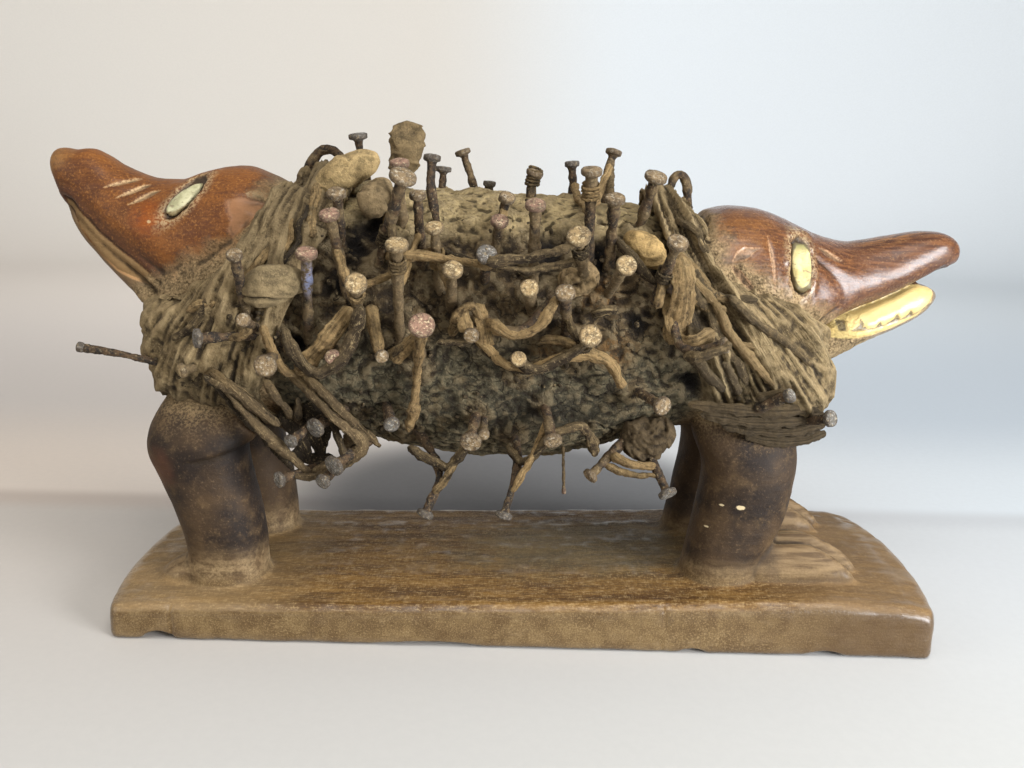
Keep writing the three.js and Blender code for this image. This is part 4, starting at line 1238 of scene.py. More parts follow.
def head_wood(finish, tones):
    """Polished red-brown wood, with the marks of both heads."""
    grain, mottle, patches, specks = tones
    streaks = finish.noise((18, 1.5, 1.5), 4, 0.6)
    left = finish.blend((patches + 0.6 * (specks - 0.5)).between(0.3, 0.66), (0.08, 0.024, 0.004),
                        (0.19, 0.064, 0.01))
    left = left.coated(streaks.between(0.42, 0.68) * 0.25, (0.27, 0.105, 0.022))
    glow = finish.spot((-188, 34, 207), (14, 30, 13), mottle)
    left = left.coated(glow * mottle.between(0.2, 0.6) * 0.95, (0.27, 0.058, 0.0))
    nose = finish.spot((-243, 0, 234), (16, 20, 14), mottle)
    left = left.coated(nose * 0.7, (0.33, 0.17, 0.052))
    right = finish.blend(streaks.between(0.35, 0.7), (0.06, 0.021, 0.009), (0.17, 0.068, 0.024))
    dome = finish.spot((106, 10, 205), (26, 60, 18), mottle)
    right = right.coated(dome * mottle.between(0.3, 0.65) * 0.85, (0.25, 0.098, 0.017))
    ridge = finish.spot((185, 0, 200), (42, 14, 12), mottle, 0.4)
    right = right.coated(ridge * streaks.between(0.4, 0.62) * 0.8, (0.34, 0.15, 0.04))
    wood = finish.blend(finish.value("right_head"), left, right)
    # Painted shade along the lips of both heads
    shade_near_lips = (finish.value("lips") + 7 * (mottle - 0.5)).between(11, 1)
    wood = wood.coated(shade_near_lips * 0.75, (0.06, 0.022, 0.009))
    wood = wood.coats([
        (grain, 0.46, 0.72, 0.55, (0.075, 0.024, 0.01)),
        (specks, 0.55, 0.68, 0.3, (0.42, 0.21, 0.06)),
        (specks, 0.44, 0.3, 0.5, (0.065, 0.022, 0.01)),
    ])

    rough = mottle * 0.5 + specks * 0.5
    pale_lip = (finish.value("left_jaw").math("ABSOLUTE") + 0.8 * (specks - 0.5)).between(1.1, 0.3)
    pale_lip = pale_lip * finish.x.between(-222, -206) * finish.value("left_band").between(-2, 0)
    jaw = (finish.value("left_jaw") + 1.6 * (specks - 0.5)).between(-0.4, 0.6)
    wood = wood.coated(jaw * 0.92, finish.blend(mottle, (0.085, 0.05, 0.024), (0.19, 0.12, 0.055)))
    band = (finish.value("left_band") + 3.0 * (rough - 0.5)).between(-0.2, 1.0)
    wood = wood.coated(band * 0.9, finish.blend(grain, (0.13, 0.078, 0.032), (0.25, 0.155, 0.067)))
    wood = wood.coated(pale_lip * 0.7, (0.5, 0.29, 0.13))
    ear = (finish.value("ear") + 2.2 * (rough - 0.5)).between(-0.4, 1.2)
    wood = wood.coated(ear * 0.9, finish.blend(mottle, (0.22, 0.092, 0.035), (0.37, 0.19, 0.09)))
    under = (finish.value("right_jaw") + 1.2 * (specks - 0.5)).between(-0.2, 0.5)
    wood = wood.coated(under * 0.9, finish.blend(mottle, (0.12, 0.09, 0.06), (0.26, 0.22, 0.165)))
    return wood


def painted_teeth(finish, wood, tones):
    """The cream paint of the right jaw, with grey-brown gaps between the teeth and painted shade along the
    mouth line.
    """
    _, mottle, _, specks = tones
    paint = (finish.value("right_band") + 0.7 * (specks - 0.5)).between(-0.3, 0.4)
    cream = finish.blend(mottle.between(0.35, 0.7), (0.68, 0.51, 0.21), (0.57, 0.41, 0.15))
    wood = wood.coated(paint, cream)
    gaps = (finish.value("tooth_gaps") + 1.2 * (specks - 0.5)).between(-0.5, 0.3) * paint
    wood = wood.coated(gaps * specks.between(0.25, 0.5) * 0.85, (0.13, 0.105, 0.07))
    # Painted shade along the carved mouth line
    mouth = finish.value("mouth").math("ABSOLUTE").between(0.6, 0.2) * paint
    mouth = mouth * finish.x.between(164, 168)
    return finish.blend(mouth * mottle.between(0.3, 0.5) * 0.7, wood, (0.19, 0.145, 0.085)), paint


def leg_wood(finish, tones):
    grain, mottle, patches, specks = tones
    wood = finish.blend(patches.between(0.36, 0.64), (0.016, 0.01, 0.007), (0.056, 0.033, 0.016))
    wood = wood.coats([
        (mottle, 0.48, 0.75, 0.55, (0.12, 0.075, 0.035)),
        (specks, 0.55, 0.72, 0.28, (0.2, 0.13, 0.07)),
        (grain, 0.55, 0.75, 0.4, (0.02, 0.012, 0.009)),
    ])
    rosy = finish.spot((-182, 40, 84), (12, 40, 16), mottle)
    wood = wood.coated(rosy * 0.4, (0.16, 0.058, 0.025))
    high = (finish.z + 14 * (mottle - 0.5)).between(96, 120)
    wood = wood.coated(high * specks.between(0.4, 0.6) * 0.6, (0.25, 0.17, 0.085))
    toes = (finish.x + 8 * (mottle - 0.5)).between(122, 136)
    toes = toes + (finish.x + 8 * (mottle - 0.5)).between(-170, -180)
    toes = toes * (finish.z + 6 * (mottle - 0.5)).between(60, 48)
    low = (finish.z + 10 * (mottle - 0.5)).between(46, 30)
    foot = finish.blend(grain.between(0.35, 0.65), (0.085, 0.05, 0.022), (0.22, 0.145, 0.072))
    wood = wood.coated((toes * 0.9).math("MAXIMUM", low * 0.75), foot)
    for place, size in LEG_CHIPS:
        chip = finish.spot(place, (size * 1.3, 9, size * 0.7), specks, 0.7)
        wood = wood.coated(chip * 0.9, (0.62, 0.5, 0.3))
    return wood


def plinth_wood(finish, tones):
    grain, mottle, patches, _ = tones
    rubbed = finish.noise((46, 7, 7), 6, 0.65)
    scratches = finish.noise((4.5, 1.0, 1.0), 5, 0.8) * 0.6 + finish.noise((1.0, 3.5, 1.0), 5, 0.8) * 0.4
    grit = finish.noise(0.8, 3, 0.75)
    top = finish.blend(rubbed.between(0.34, 0.68), (0.072, 0.033, 0.009), (0.205, 0.11, 0.03))
    top = top.coats([
        (scratches, 0.51, 0.58, 0.6, (0.38, 0.26, 0.12)),
        (scratches, 0.48, 0.41, 0.6, (0.045, 0.022, 0.009)),
    ])
    green = finish.spot((40, 10, 27), (120, 42, 30), mottle)
    top = top.coated(green * 0.55, finish.blend(scratches, (0.055, 0.045, 0.022), (0.2, 0.165, 0.09)))
    ochre_ends = (finish.x + 30 * (mottle - 0.5)).between(110, 165)
    top = top.coated(ochre_ends * 0.6, finish.blend(grain, (0.15, 0.09, 0.041), (0.225, 0.147, 0.074)))
    near_left = (finish.x + 40 * (mottle - 0.5)).between(-90, -150)
    top = top.coated(near_left * 0.5, finish.blend(scratches, (0.17, 0.105, 0.05), (0.4, 0.29, 0.15)))
    face = finish.blend((mottle + 0.4 * (patches - 0.5)).between(0.3, 0.7), (0.09, 0.052, 0.02),
                        (0.165, 0.107, 0.046))
    face = face.coats([
        (grit, 0.5, 0.66, 0.45, (0.34, 0.24, 0.12)),
        (grit, 0.48, 0.34, 0.55, (0.075, 0.044, 0.02)),
    ])
    darker = (finish.x + 40 * (mottle - 0.5)).between(90, 190)
    face = face.coated(darker * 0.8, (0.08, 0.046, 0.02))
    return finish.blend(finish.value("upward").between(0.35, 0.8), face, top)


def crust_colour(finish, tones):
    """Mud and old coatings on the trunk: khaki on top, grey-green below, rusty in places."""
    _, mottle, _, specks = tones
    fine = finish.noise(3.0, 5, 0.7)
    green = finish.blend(mottle.between(0.3, 0.7), (0.046, 0.039, 0.023), (0.15, 0.126, 0.074))
    green = green.coats([
        (fine, 0.5, 0.66, 0.55, (0.25, 0.21, 0.125)),
        (fine, 0.46, 0.32, 0.6, (0.014, 0.012, 0.008)),
    ])
    warm = finish.noise(16, 4, 0.65).between(0.52, 0.66)
    green = green.coated(warm * 0.5, (0.165, 0.11, 0.05))
    shaded = finish.spot((8, 50, 116), (52, 40, 17), mottle)
    green = green.coated(shaded * 0.75, (0.03, 0.026, 0.018))
    mud = finish.blend(mottle.between(0.3, 0.7), (0.04, 0.026, 0.013), (0.155, 0.103, 0.048))
    mud = mud.coats([
        (fine, 0.5, 0.68, 0.5, (0.28, 0.2, 0.1)),
        (fine, 0.46, 0.32, 0.6, (0.022, 0.015, 0.009)),
    ])
    tan = finish.blend(mottle.between(0.32, 0.66), (0.34, 0.25, 0.12), (0.62, 0.47, 0.24))
    tan = tan.coated(fine.between(0.46, 0.34) * 0.5, (0.16, 0.11, 0.05))
    crust = finish.blend((finish.z + 26 * (mottle - 0.5)).between(140, 168), green, mud)
    mounds = (finish.value("mounds") + 0.5 * (mottle - 0.5)).between(0.2, 0.7)
    crust = crust.coated(mounds * 0.8, mud)
    crust = crust.coated((finish.z + 16 * (mottle - 0.5)).between(196, 212), tan)
    plates = finish.cracks((8, 8, 6), 0.09) * finish.z.between(185, 165)
    crust = crust.coated(plates * mottle.between(0.35, 0.55) * 0.8, (0.012, 0.01, 0.007))
    for place, size in RUSTY_STAINS:
        stain = finish.spot(place, (size, 24, size * 0.8), mottle)
        crust = crust.coated(stain * fine.between(0.35, 0.6) * 0.65, (0.24, 0.115, 0.03))
    return finish.blend(specks.between(0.58, 0.74) * 0.4, crust, (0.4, 0.33, 0.21))


# Pale worn patches of the left head, chips of the right leg and rusty stains of the trunk: place and size
PALE_PATCHES = [
    ((-136, 32, 229), (6, 12, 3)), ((-131, 36, 220), (10, 12, 4)), ((-187, 31, 205), (1.6, 5, 1.2)),
]
LEG_CHIPS = [((109, 53, 72), 1.9), ((100, 53, 72), 1.1), ((94, 50, 59), 1.1)]
RUSTY_STAINS = [((42, 50, 150), 17), ((34, 50, 178), 15), ((8, 52, 150), 9)]


def finished_heads(finish, tones, ochre_dust):
    """The wood of the heads with its eye rims, pale patches, cuts, teeth and the dust near the collars."""
    _, mottle, _, specks = tones
    heads = head_wood(finish, tones)
    dust = (finish.value("collar") + 26 * (mottle - 0.5) + 5 * (specks - 0.5)).between(13, -1)
    rim = (finish.value("eye") + 0.9 * (mottle - 0.5)).between(2.1, 1.2)
    heads = heads.coated(rim * specks.between(0.4, 0.58) * 0.75, (0.42, 0.31, 0.17))
    outline = (finish.value("eye") + 0.7 * (mottle - 0.5)).between(1.22, 1.08)
    heads = heads.coated(outline * 0.75, (0.065, 0.036, 0.016))
    for place, size in PALE_PATCHES:
        patch = finish.spot(place, size, specks, 0.6)
        heads = heads.coated(patch * 0.7, (0.52, 0.37, 0.19))
    bare_ear = finish.value("ear").between(-1.0, 1.0)
    dust = dust * (1 - 0.85 * bare_ear)
    heads = heads.coated(dust * 0.9, ochre_dust)
    cuts = (finish.value("cuts") + 1.0 * (specks - 0.5)).between(-0.5, 0.5)
    pale_cut = finish.blend(finish.value("right_head"), (0.46, 0.3, 0.15), (0.44, 0.26, 0.14))
    heads = heads.coated(cuts * specks.between(0.2, 0.6) * 0.95, pale_cut)
    heads, paint = painted_teeth(finish, heads, tones)
    return heads, paint, dust


def carved_wood():
    finish = Finish("worn_carved_wood")
    grain = finish.noise((34, 3.2, 3.2), 5, 0.6)
    mottle = finish.noise(10, 5, 0.62)
    patches = finish.noise(26, 3)
    specks = finish.noise(1.25, 3, 0.7)
    tones = grain, mottle, patches, specks
    powder = (specks * 0.6 + mottle * 0.4).between(0.36, 0.62)
    ochre_dust = finish.blend(powder, (0.13, 0.088, 0.042), (0.5, 0.36, 0.19))
    heads, paint, dust = finished_heads(finish, tones, ochre_dust)

    on_heads = finish.value("left_head") + finish.value("right_head")
    colour = finish.blend(on_heads, leg_wood(finish, tones), heads)
    foot_dust = finish.z.between(44, 24) * mottle.between(0.35, 0.65)
    colour = colour.coated(foot_dust * 0.45, ochre_dust)
    colour = colour.coated(finish.value("plinth"), plinth_wood(finish, tones))
    colour = colour.coated(finish.value("trunk"), crust_colour(finish, tones))
    # Dirt and painted shade in the fine hollows, less on the paint and on the plinth
    hollow_dirt_and_shade = (finish.value("hollow") + 0.2 * (specks - 0.5)).between(0.03, 0.55) * (1 - 0.55 * paint)
    hollow_dirt_and_shade = hollow_dirt_and_shade * (1 - 0.75 * finish.value("plinth"))
    colour = colour.coated(hollow_dirt_and_shade * 0.75, (0.022, 0.014, 0.008))
    # Painted shade in the broad hollows of the upper trunk
    basin = (finish.value("basin") + 1.2 * (mottle - 0.5)).between(0.0, 3.2) * finish.value("trunk")
    basin = basin * finish.z.between(218, 196)
    colour = colour.coated(basin * 0.55, (0.016, 0.012, 0.008))
    # Painted shade, near black, in the deep hollows of the front
    colour = colour.coated(finish.value("dark") * 0.96, (0.007, 0.005, 0.004))
    worn = finish.value("hollow").between(-0.04, -0.5)
    colour = colour.coated(worn * finish.value("trunk") * 0.45, (0.3, 0.23, 0.13))

    gloss = (on_heads - 0.6 * finish.value("left_head")) * (1 - dust)
    gloss = gloss * (1 - finish.value("left_band").between(-1.0, 0.0))
    polish = finish.value("hollow").between(0.0, -0.3) * finish.value("plinth")
    rough = 0.8 - 0.54 * gloss - 0.14 * finish.value("plinth") - 0.35 * polish - 0.14 * finish.value("legs")
    rough = rough + 0.25 * (mottle - 0.5) + 0.15 * (specks - 0.5)
    coarse = finish.value("trunk") + dust * on_heads
    fine = finish.bump(specks * (0.12 + 0.88 * coarse), 2.0)
    crusted = finish.noise(2.2, 4, 0.8) * 2.4 - finish.cracks((8, 8, 6), 0.09) * 0.5
    relief = finish.bump(grain * 0.5 + crusted * coarse, 0.9, fine)
    return finish.show(Base_Color=colour, Roughness=rough, Normal=relief, Specular_IOR_Level=0.22,
                       Coat_Weight=0.42 * gloss + 0.5 * polish, Coat_Roughness=0.28)


# Eyes

def eye_inlays():
    angle = np.linspace(0, math.tau, 72, endpoint=False)
    levels = np.linspace(-0.97, 0.97, 27) * math.pi / 2
    for head, (rows, (x, z), half, turn, powers) in EYES.items():
        material = eye_material(head)
        below, here, above = (half_width(rows, HEAD_FULLNESS, x, z + step) for step in (-1, 0, 1))
        lean = math.atan((below - above) / 2)
        depth = here - EYE_SINK * math.cos(lean)
        for side, place in ((FRONT, "front"), (BACK, "back")):
            rings = [np.stack([
                math.cos(level) ** 0.5 * signed_power(np.cos(angle), powers[0]),
                np.full(72, signed_power(math.sin(level), 0.7)),
                math.cos(level) ** 0.5 * signed_power(np.sin(angle), powers[1]),
            ], axis=-1) for level in levels]
            points, faces = closed_skin(rings)
            edge = np.hypot(points[:, 0], points[:, 2])
            points = points * (1 + 0.1 * rough_noise(points, 0.5, 3, 7))[:, None] * np.array(half)
            spin = Matrix.Rotation(side * lean, 3, "X") @ Matrix.Rotation(-turn, 3, "Y")
            place_of_eye = (x, side * depth, z - EYE_SINK * math.sin(lean))
            points = points @ np.array(spin).T + np.array(place_of_eye)
            node = f"{head}_eye_{place}"
            inlay = make_object(node + "_inlay", points, faces)
            store(inlay, "edge", edge)
            finish_piece(inlay, material, "eye_inlay", node)


def eye_material(head):
    finish = Finish(head + "_eye_inlay")
    patches = finish.noise(5, 4)
    fine = finish.noise(1.2, 3, 0.7)
    if head == "left_head":
        base = finish.blend(patches.between(0.35, 0.65), (0.27, 0.25, 0.13), (0.45, 0.42, 0.25))
        rim = (0.2, 0.14, 0.06)
    else:
        base = finish.blend(patches.between(0.35, 0.65), (0.47, 0.38, 0.15), (0.62, 0.52, 0.25))
        olive = (finish.z + 2 * (patches - 0.5)).between(196, 200)
        base = base.coated(olive * 0.85, (0.2, 0.19, 0.06))
        rim = (0.1, 0.075, 0.035)
    edge = (finish.value("edge") + 0.12 * (fine - 0.5)).between(0.86, 0.97)
    base = base.coated(edge * 0.9, rim)
    stains = finish.noise((3.0, 3.0, 1.2), 4).between(0.56, 0.66)
    base = base.coated(stains * 0.7, (0.14, 0.1, 0.05))
    return finish.show(Base_Color=base, Roughness=0.55, Normal=finish.bump(patches * 0.6 + fine * 0.4, 0.5))


# Rag collars

def fan_frame(points, fan):
    """Distance round the fan of folds, measured 100 mm from its top, and distance from its top."""
    away = points[:, [0, 2]] - np.array(fan, dtype=float)
    softened = np.hypot(away[:, 1], FAN_PINCH)
    return 100 * np.arctan2(away[:, 0], softened), np.hypot(away[:, 0], away[:, 1])


def ridges(around, along, depth, width, length, seed):
    """Branching ridges from 0 to 1 that are about width apart and run along the folds."""
    place = np.stack([around / width, along / length, depth / length], axis=1)
    warped = place + 0.35 * np.stack([noise(place, 1.7, seed + k) for k in (5, 6, 7)], axis=1)
    return 1 - np.minimum(np.abs(noise(warped, 1.0, seed)) / 0.55, 1)


def rag_relief(points, fan, seed, softness):
    """Folds of the rag in millimetres, from broad ones to wrinkles. A soft rag is more lumpy than folded."""
    around, along = fan_frame(points, fan)
    depth = np.abs(points[:, 1]) + 200 * (points[:, 1] > 0)
    broad = ridges(around, along, depth, 17, 75, seed)
    middle = ridges(around, along, depth, 8, 38, seed + 20)
    narrow = ridges(around, along, depth, 3.0, 26, seed + 40)
    lumps = rough_noise(points, 20, 3, seed + 60)
    folds = 7.5 * (broad - 0.55) + 4.2 * (middle - 0.55) + 2.2 * (narrow - 0.5)
    relief = folds * (1 - 0.5 * softness) + (3.0 + 3.5 * softness) * lumps
    return relief + 0.5 * noise(points, 2.2, seed + 80)


def cut_by_edge(made, edge):
    """Cuts the mantle along a slanting edge and closes the cut."""
    start, end, side = edge
    along = Vector((end[0] - start[0], 0, end[1] - start[1])).normalized()
    outward = along.cross(Vector((0, 1, 0))) * side
    cut = bmesh.new()
    cut.from_mesh(made.data)
    every = cut.verts[:] + cut.edges[:] + cut.faces[:]
    place = Vector((start[0], 0, start[1])) * MM
    result = bmesh.ops.bisect_plane(cut, geom=every, plane_co=place, plane_no=outward, clear_outer=True)
    rim = [part for part in result["geom_cut"] if isinstance(part, bmesh.types.BMEdge)]
    bmesh.ops.holes_fill(cut, edges=rim)
    cut.to_mesh(made.data)
    cut.free()


def mantle_part(name, rows, edges):
    """The mantle cut by one run of the edge towards the head and by the edge towards the trunk."""
    part = make_object(name, *sections_along_x(rows, BODY_FULLNESS, 160, 2.0))
    for edge in edges:
        cut_by_edge(part, edge)
    points = read_points(part)
    faces = [tuple(face.vertices) for face in part.data.polygons]
    bpy.data.objects.remove(part)
    return points, faces


def rag_collar(name, rows, edges, fan, seed, softness):
    parts = [mantle_part(name, rows, (run, edges["trunk"])) for run in edges["head"]]
    collar = remesh(make_object(name + "_cloth", *joined(parts)), COLLAR_VOXEL)
    points, lines = read_points(collar), read_edges(collar)
    points = relax(points, lines, 8)
    write_points(collar, points)
    normals = read_normals(collar)
    clearance = collar_clearance(points[:, [0, 2]], edges)
    ragged = clearance + 4 * noise(points, 9, seed + 1)
    outer = ease(np.abs(points[:, 1]) + np.abs(points[:, 2] - 165) * 0.9, 30, 46)
    relief = rag_relief(points, fan, seed, softness) - 4.5 * (1 - ease(ragged, 0, 10))
    relief -= 6 * shaded_hollows(points)
    relief -= 0.5 * np.clip(relief - 4.5, 0, 9)
    relief -= ease(np.abs(normals[:, 0]), 0.45, 0.8) * np.maximum(relief - 0.5, 0)
    write_points(collar, points + normals * (relief * outer)[:, None])
    thin_out(collar, COLLAR_TRIANGLES)
    points, _, hollow, basin = read_hollows(collar, 10)
    around, along = fan_frame(points, fan)
    store_all(collar, {
        "hollow": hollow, "basin": basin, "around": around, "along": along, "dark": shaded_hollows(points),
    })
    return finish_piece(collar, rag_material(name + "_rag", softness), "rag", name)


def rag_material(name, softness):
    finish = Finish(name)
    shares = [finish.value("around") / 1.1, finish.value("along") / 14, finish.y / 14]
    threads = finish.texture(finish.node("ShaderNodeCombineXYZ", {}, shares), 1.0, 4.0, 0.65)
    mottle = finish.noise(9, 5, 0.62)
    patches = finish.noise(24, 3)
    specks = finish.noise(1.1, 3, 0.7)
    colour = finish.blend(mottle.between(0.34, 0.66), (0.085, 0.058, 0.027), (0.235, 0.168, 0.083))
    colour = colour.coated(patches.between(0.5, 0.68) * 0.45, (0.105, 0.085, 0.05))
    plain = 1 - 0.5 * softness
    colour = colour.coats([
        (threads, 0.48, 0.7, 0.5 * plain, (0.4, 0.3, 0.16)),
        (threads, 0.46, 0.3, 0.6 * plain, (0.05, 0.035, 0.018)),
        (specks, 0.54, 0.7, 0.4, (0.44, 0.335, 0.18)),
        (specks, 0.45, 0.3, 0.5, (0.045, 0.032, 0.017)),
        # Painted highlight on the raised folds, and painted shade in the fine and broad hollows
        (finish.value("hollow"), -0.02, -0.5, 0.4, (0.43, 0.32, 0.17)),
        (finish.value("hollow"), 0.02, 0.45, 0.85, (0.022, 0.015, 0.009)),
        (finish.value("basin"), 0.3, 2.6, 0.85, (0.014, 0.01, 0.006)),
    ])
    # Painted shade, near black, in the deep hollows of the front
    colour = colour.coated(finish.value("dark") * 0.95, (0.007, 0.005, 0.004))
    low = (finish.z + 12 * (mottle - 0.5)).between(132, 108)
    colour = colour.coated(low * 0.8, (0.03, 0.021, 0.012))
    dusty = (finish.z + 20 * (mottle - 0.5)).between(150, 185) * specks.between(0.3, 0.6)
    colour = colour.coated(dusty * (0.22 + 0.08 * softness), (0.4, 0.285, 0.145))
    # Painted shade over the top of the soft left collar
    upper_shade = (finish.z + 14 * (mottle - 0.5)).between(170, 196) * softness
    colour = colour.coated(upper_shade * 0.4, (0.055, 0.038, 0.019))
    blue = finish.spot((71, 66, 189), (3.5, 14, 8), mottle)
    colour = colour.coated(blue * specks.between(0.4, 0.6) * 0.7, (0.22, 0.25, 0.32))
    weave = finish.bump(threads * (0.75 * plain) + specks * 0.35, 3.2)
    return finish.show(Base_Color=colour, Roughness=0.93, Normal=weave, Specular_IOR_Level=0.25)


# Tied packets

def packet_points(line, steps):
    """Points on a smooth curve through the three points of a packet's centre line."""
    first, middle, last = (np.array(point, dtype=float) for point in line)
    t = np.linspace(0, 1, steps)[:, None]
    control = 2 * middle - (first + last) / 2
    return (1 - t) ** 2 * first + 2 * t * (1 - t) * control + t ** 2 * last


# Looks of the packets: tint, height of the folds, number of wraps, height of the crumbs, thinness
PACKET_LOOKS = {
    "cloth_roll": ((0.33, 0.235, 0.11), 0.9, 0, 0.15, 0.0),
    "knotted_packet": ((0.14, 0.098, 0.048), 2.3, 0, 0.3, 0.75),
    "rounded_packet": ((0.19, 0.135, 0.07), 1.3, 2, 0.25, 0.1),
    "folded_packet": ((0.19, 0.14, 0.073), 0.8, 0, 0.2, 0.35),
    "fibre_knot": ((0.21, 0.145, 0.072), 1.3, 0, 1.3, 0.0),
    "ochre_packet": ((0.33, 0.22, 0.09), 0.9, 0, 0.3, 0.1),
    "hanging_lump": ((0.075, 0.052, 0.027), 1.8, 0, 1.2, 0.0),
}


def packet(name, line, ends, middle, seed):
    _, folds, wraps, crumbs, thin = PACKET_LOOKS[name]
    steps, sides = PACKET_STEPS, PACKET_SIDES
    path = packet_points(line, steps)
    t = np.linspace(0, 1, steps)
    radius = ends + (middle - ends) * np.sin(math.pi * t)
    radius = radius * (0.2 + 0.8 * np.sqrt(np.clip(1 - np.abs(2 * t - 1) ** 4, 0, 1)))
    along = np.gradient(path, axis=0)
    along /= np.linalg.norm(along, axis=1)[:, None]
    side = np.cross(along, (0.0, -1.0, 0.05))
    side /= np.linalg.norm(side, axis=1)[:, None]
    other = np.cross(along, side)
    angle = np.linspace(0, math.tau, sides, endpoint=False)
    across = signed_power(np.cos(angle), 1 - 0.6 * thin)
    outward = (1 - 0.8 * thin) * signed_power(np.sin(angle), 1 - 0.6 * thin)
    out = side[:, None, :] * across[None, :, None] + other[:, None, :] * outward[None, :, None]
    flat = (path[:, None, :] + out * radius[:, None, None]).reshape(-1, 3)
    warp = 3 * noise(flat, 7, seed)[:, None]
    pleats = 1 - np.abs(noise(flat + warp, (11, 8, 4.5), seed + 3)) / 0.6
    lift = folds * (1.3 * noise(flat, 10, seed + 5) + 0.9 * (pleats - 0.5))
    if wraps:
        turn = np.repeat(t, sides) * wraps + 0.35 * noise(flat, 9, seed + 9)
        lift = lift - 1.0 * np.abs(np.cos(math.pi * turn)) ** 16
    if name == "folded_packet":
        lift = lift - 2.6 * np.exp(-((flat[:, 2] - 174 - 1.5 * noise(flat, 9, seed + 2)) / 0.8) ** 2)
    lift = lift + crumbs * (noise(flat, 2.6, seed + 7) + 0.5 * noise(flat, 1.3, seed + 8))
    flat = flat + out.reshape(-1, 3) * lift[:, None]
    points, faces = closed_skin(flat.reshape(steps, sides, 3))
    made = make_object(name + "_bundle", points, faces)
    lines = read_edges(made)
    normals = read_normals(made)
    store(made, "hollow", ((relax(points, lines, 14) - points) * normals).sum(axis=1))
    return made


def packet_material(name):
    finish = Finish(name + "_cloth")
    weave = finish.noise(0.9, 3, 0.7)
    mottle = finish.noise(5, 5, 0.65)
    tint = np.array(PACKET_LOOKS[name][0])
    hollow = finish.value("hollow")
    colour = finish.blend(mottle.between(0.34, 0.68), tuple(tint * 0.5), tuple(tint * 1.2))
    colour = colour.coats([
        (weave, 0.53, 0.7, 0.5, tuple(np.minimum(tint * 1.8, 0.8))),
        (weave, 0.46, 0.32, 0.5, tuple(tint * 0.3)),
        # Painted highlight on the raised folds, and painted shade in the hollows
        (hollow, -0.02, -0.35, 0.35, tuple(tint * 1.6)),
        (hollow, 0.04, 0.6, 0.85, (0.018, 0.012, 0.007)),
    ])
    relief = finish.bump(weave * 0.6 + mottle * 0.4, 1.2)
    return finish.show(Base_Color=colour, Roughness=0.93, Normal=relief, Specular_IOR_Level=0.25)


def tied_packets():
    for seed, (name, (line, ends, middle)) in enumerate(PACKETS.items()):
        made = packet(name, line, ends, middle, 100 + 11 * seed)
        finish_piece(made, packet_material(name), "packet_cloth", name)


# Nails, strips and string, grown along paths by Geometry Nodes

def bent_path(points, step, rounding=3):
    """Points along a line whose corners are cut round."""
    path = np.array(points, dtype=float)
    for _ in range(rounding):
        if len(path) < 3:
            break
        near = path[:-1] * 0.75 + path[1:] * 0.25
        far = path[:-1] * 0.25 + path[1:] * 0.75
        path = np.vstack([path[:1], np.stack([near, far], axis=1).reshape(-1, 3)[1:-1], path[-1:]])
    run = np.concatenate([[0], np.cumsum(np.linalg.norm(np.diff(path, axis=0), axis=1))])
    at = np.linspace(0, run[-1], max(int(run[-1] / step), 3) + 1)
    return np.stack([np.interp(at, run, path[:, axis]) for axis in range(3)], axis=1)


# Profile of a forged head: distance from its middle along the shank, radius as a share of the head's
HEAD_PROFILE = [
    (-3.6, 0.0), (-2.8, 0.1), (-2.45, 0.4), (-2.2, 0.8), (-1.85, 0.97), (-1.2, 1.0), (-0.4, 1.0),
    (0.15, 0.97), (0.45, 0.82), (0.6, 0.5), (0.68, 0.12),
]
# Share of head at the rim, where it is 0 on the shank and near 1 in the middle of the face
RIM_SHARE = 0.6


def nail_line(nail):
    """Path, radius and share of head for each point of a nail, from inside the body to its head's top."""
    shank, head, _, *points = nail
    points = [np.array(point, dtype=float) for point in points]
    inward = (points[0] - points[1]) / np.linalg.norm(points[0] - points[1])
    outward = (points[-1] - points[-2]) / np.linalg.norm(points[-1] - points[-2])
    neck = points[-1] + outward * HEAD_PROFILE[0][0]
    path = bent_path([points[0] + inward * 5, *points[1:-1], neck], 1.1)
    lumps = 0.92 + 0.24 * noise(path, 6, 17) + 0.14 * noise(path, 2.5, 18)
    radius = shank * lumps
    share = np.zeros(len(path))
    crown = np.array([points[-1] + outward * distance for distance, _ in HEAD_PROFILE[1:]])
    flat = np.array([RIM_SHARE + (1 - RIM_SHARE) * (1 - part) if distance > 0 else RIM_SHARE
                     for distance, part in HEAD_PROFILE[1:]])
    rim = np.array([shank + (head - shank) * part if distance < -1.6 else head * part
                    for distance, part in HEAD_PROFILE[1:]])
    return np.vstack([path, crown]), np.concatenate([radius, rim]), np.concatenate([share, flat])


def line_object(name, lines, tones_given=()):
    """Edges along paths, with the radius, the share of head and the tone of each point."""
    points, edges, radii, heads, tones, shift = [], [], [], [], [], 0
    for order, (path, radius, share) in enumerate(lines):
        points.append(path)
        edges += [(shift + k, shift + k + 1) for k in range(len(path) - 1)]
        radii.append(radius)
        heads.append(share)
        tone = lattice_value(np.round(path[-1:]).astype(np.int64), 77)[0] * 0.5 + 0.5
        tones.append(np.full(len(path), tones_given[order] if tones_given else tone))
        shift += len(path)
    made = make_object(name, np.vstack(points), [], edges)
    store_all(made, {
        "girth": np.concatenate(radii) * MM, "head": np.concatenate(heads), "tone": np.concatenate(tones),
    })
    return made


def geometry_tree(name, inputs):
    """An empty Geometry Nodes tree with the named inputs, given as socket types."""
    tree = bpy.data.node_groups.new(name, "GeometryNodeTree")
    tree.interface.new_socket("Geometry", in_out="OUTPUT", socket_type="NodeSocketGeometry")
    tree.interface.new_socket("Geometry", in_out="INPUT", socket_type="NodeSocketGeometry")
    for label, kind in inputs.items():
        tree.interface.new_socket(label, in_out="INPUT", socket_type="NodeSocket" + kind)
    net = Net(tree)
    entry = tree.nodes.new("NodeGroupInput")
    sockets = {socket.name: Socket(net, socket) for socket in entry.outputs if socket.name}
    return net, sockets


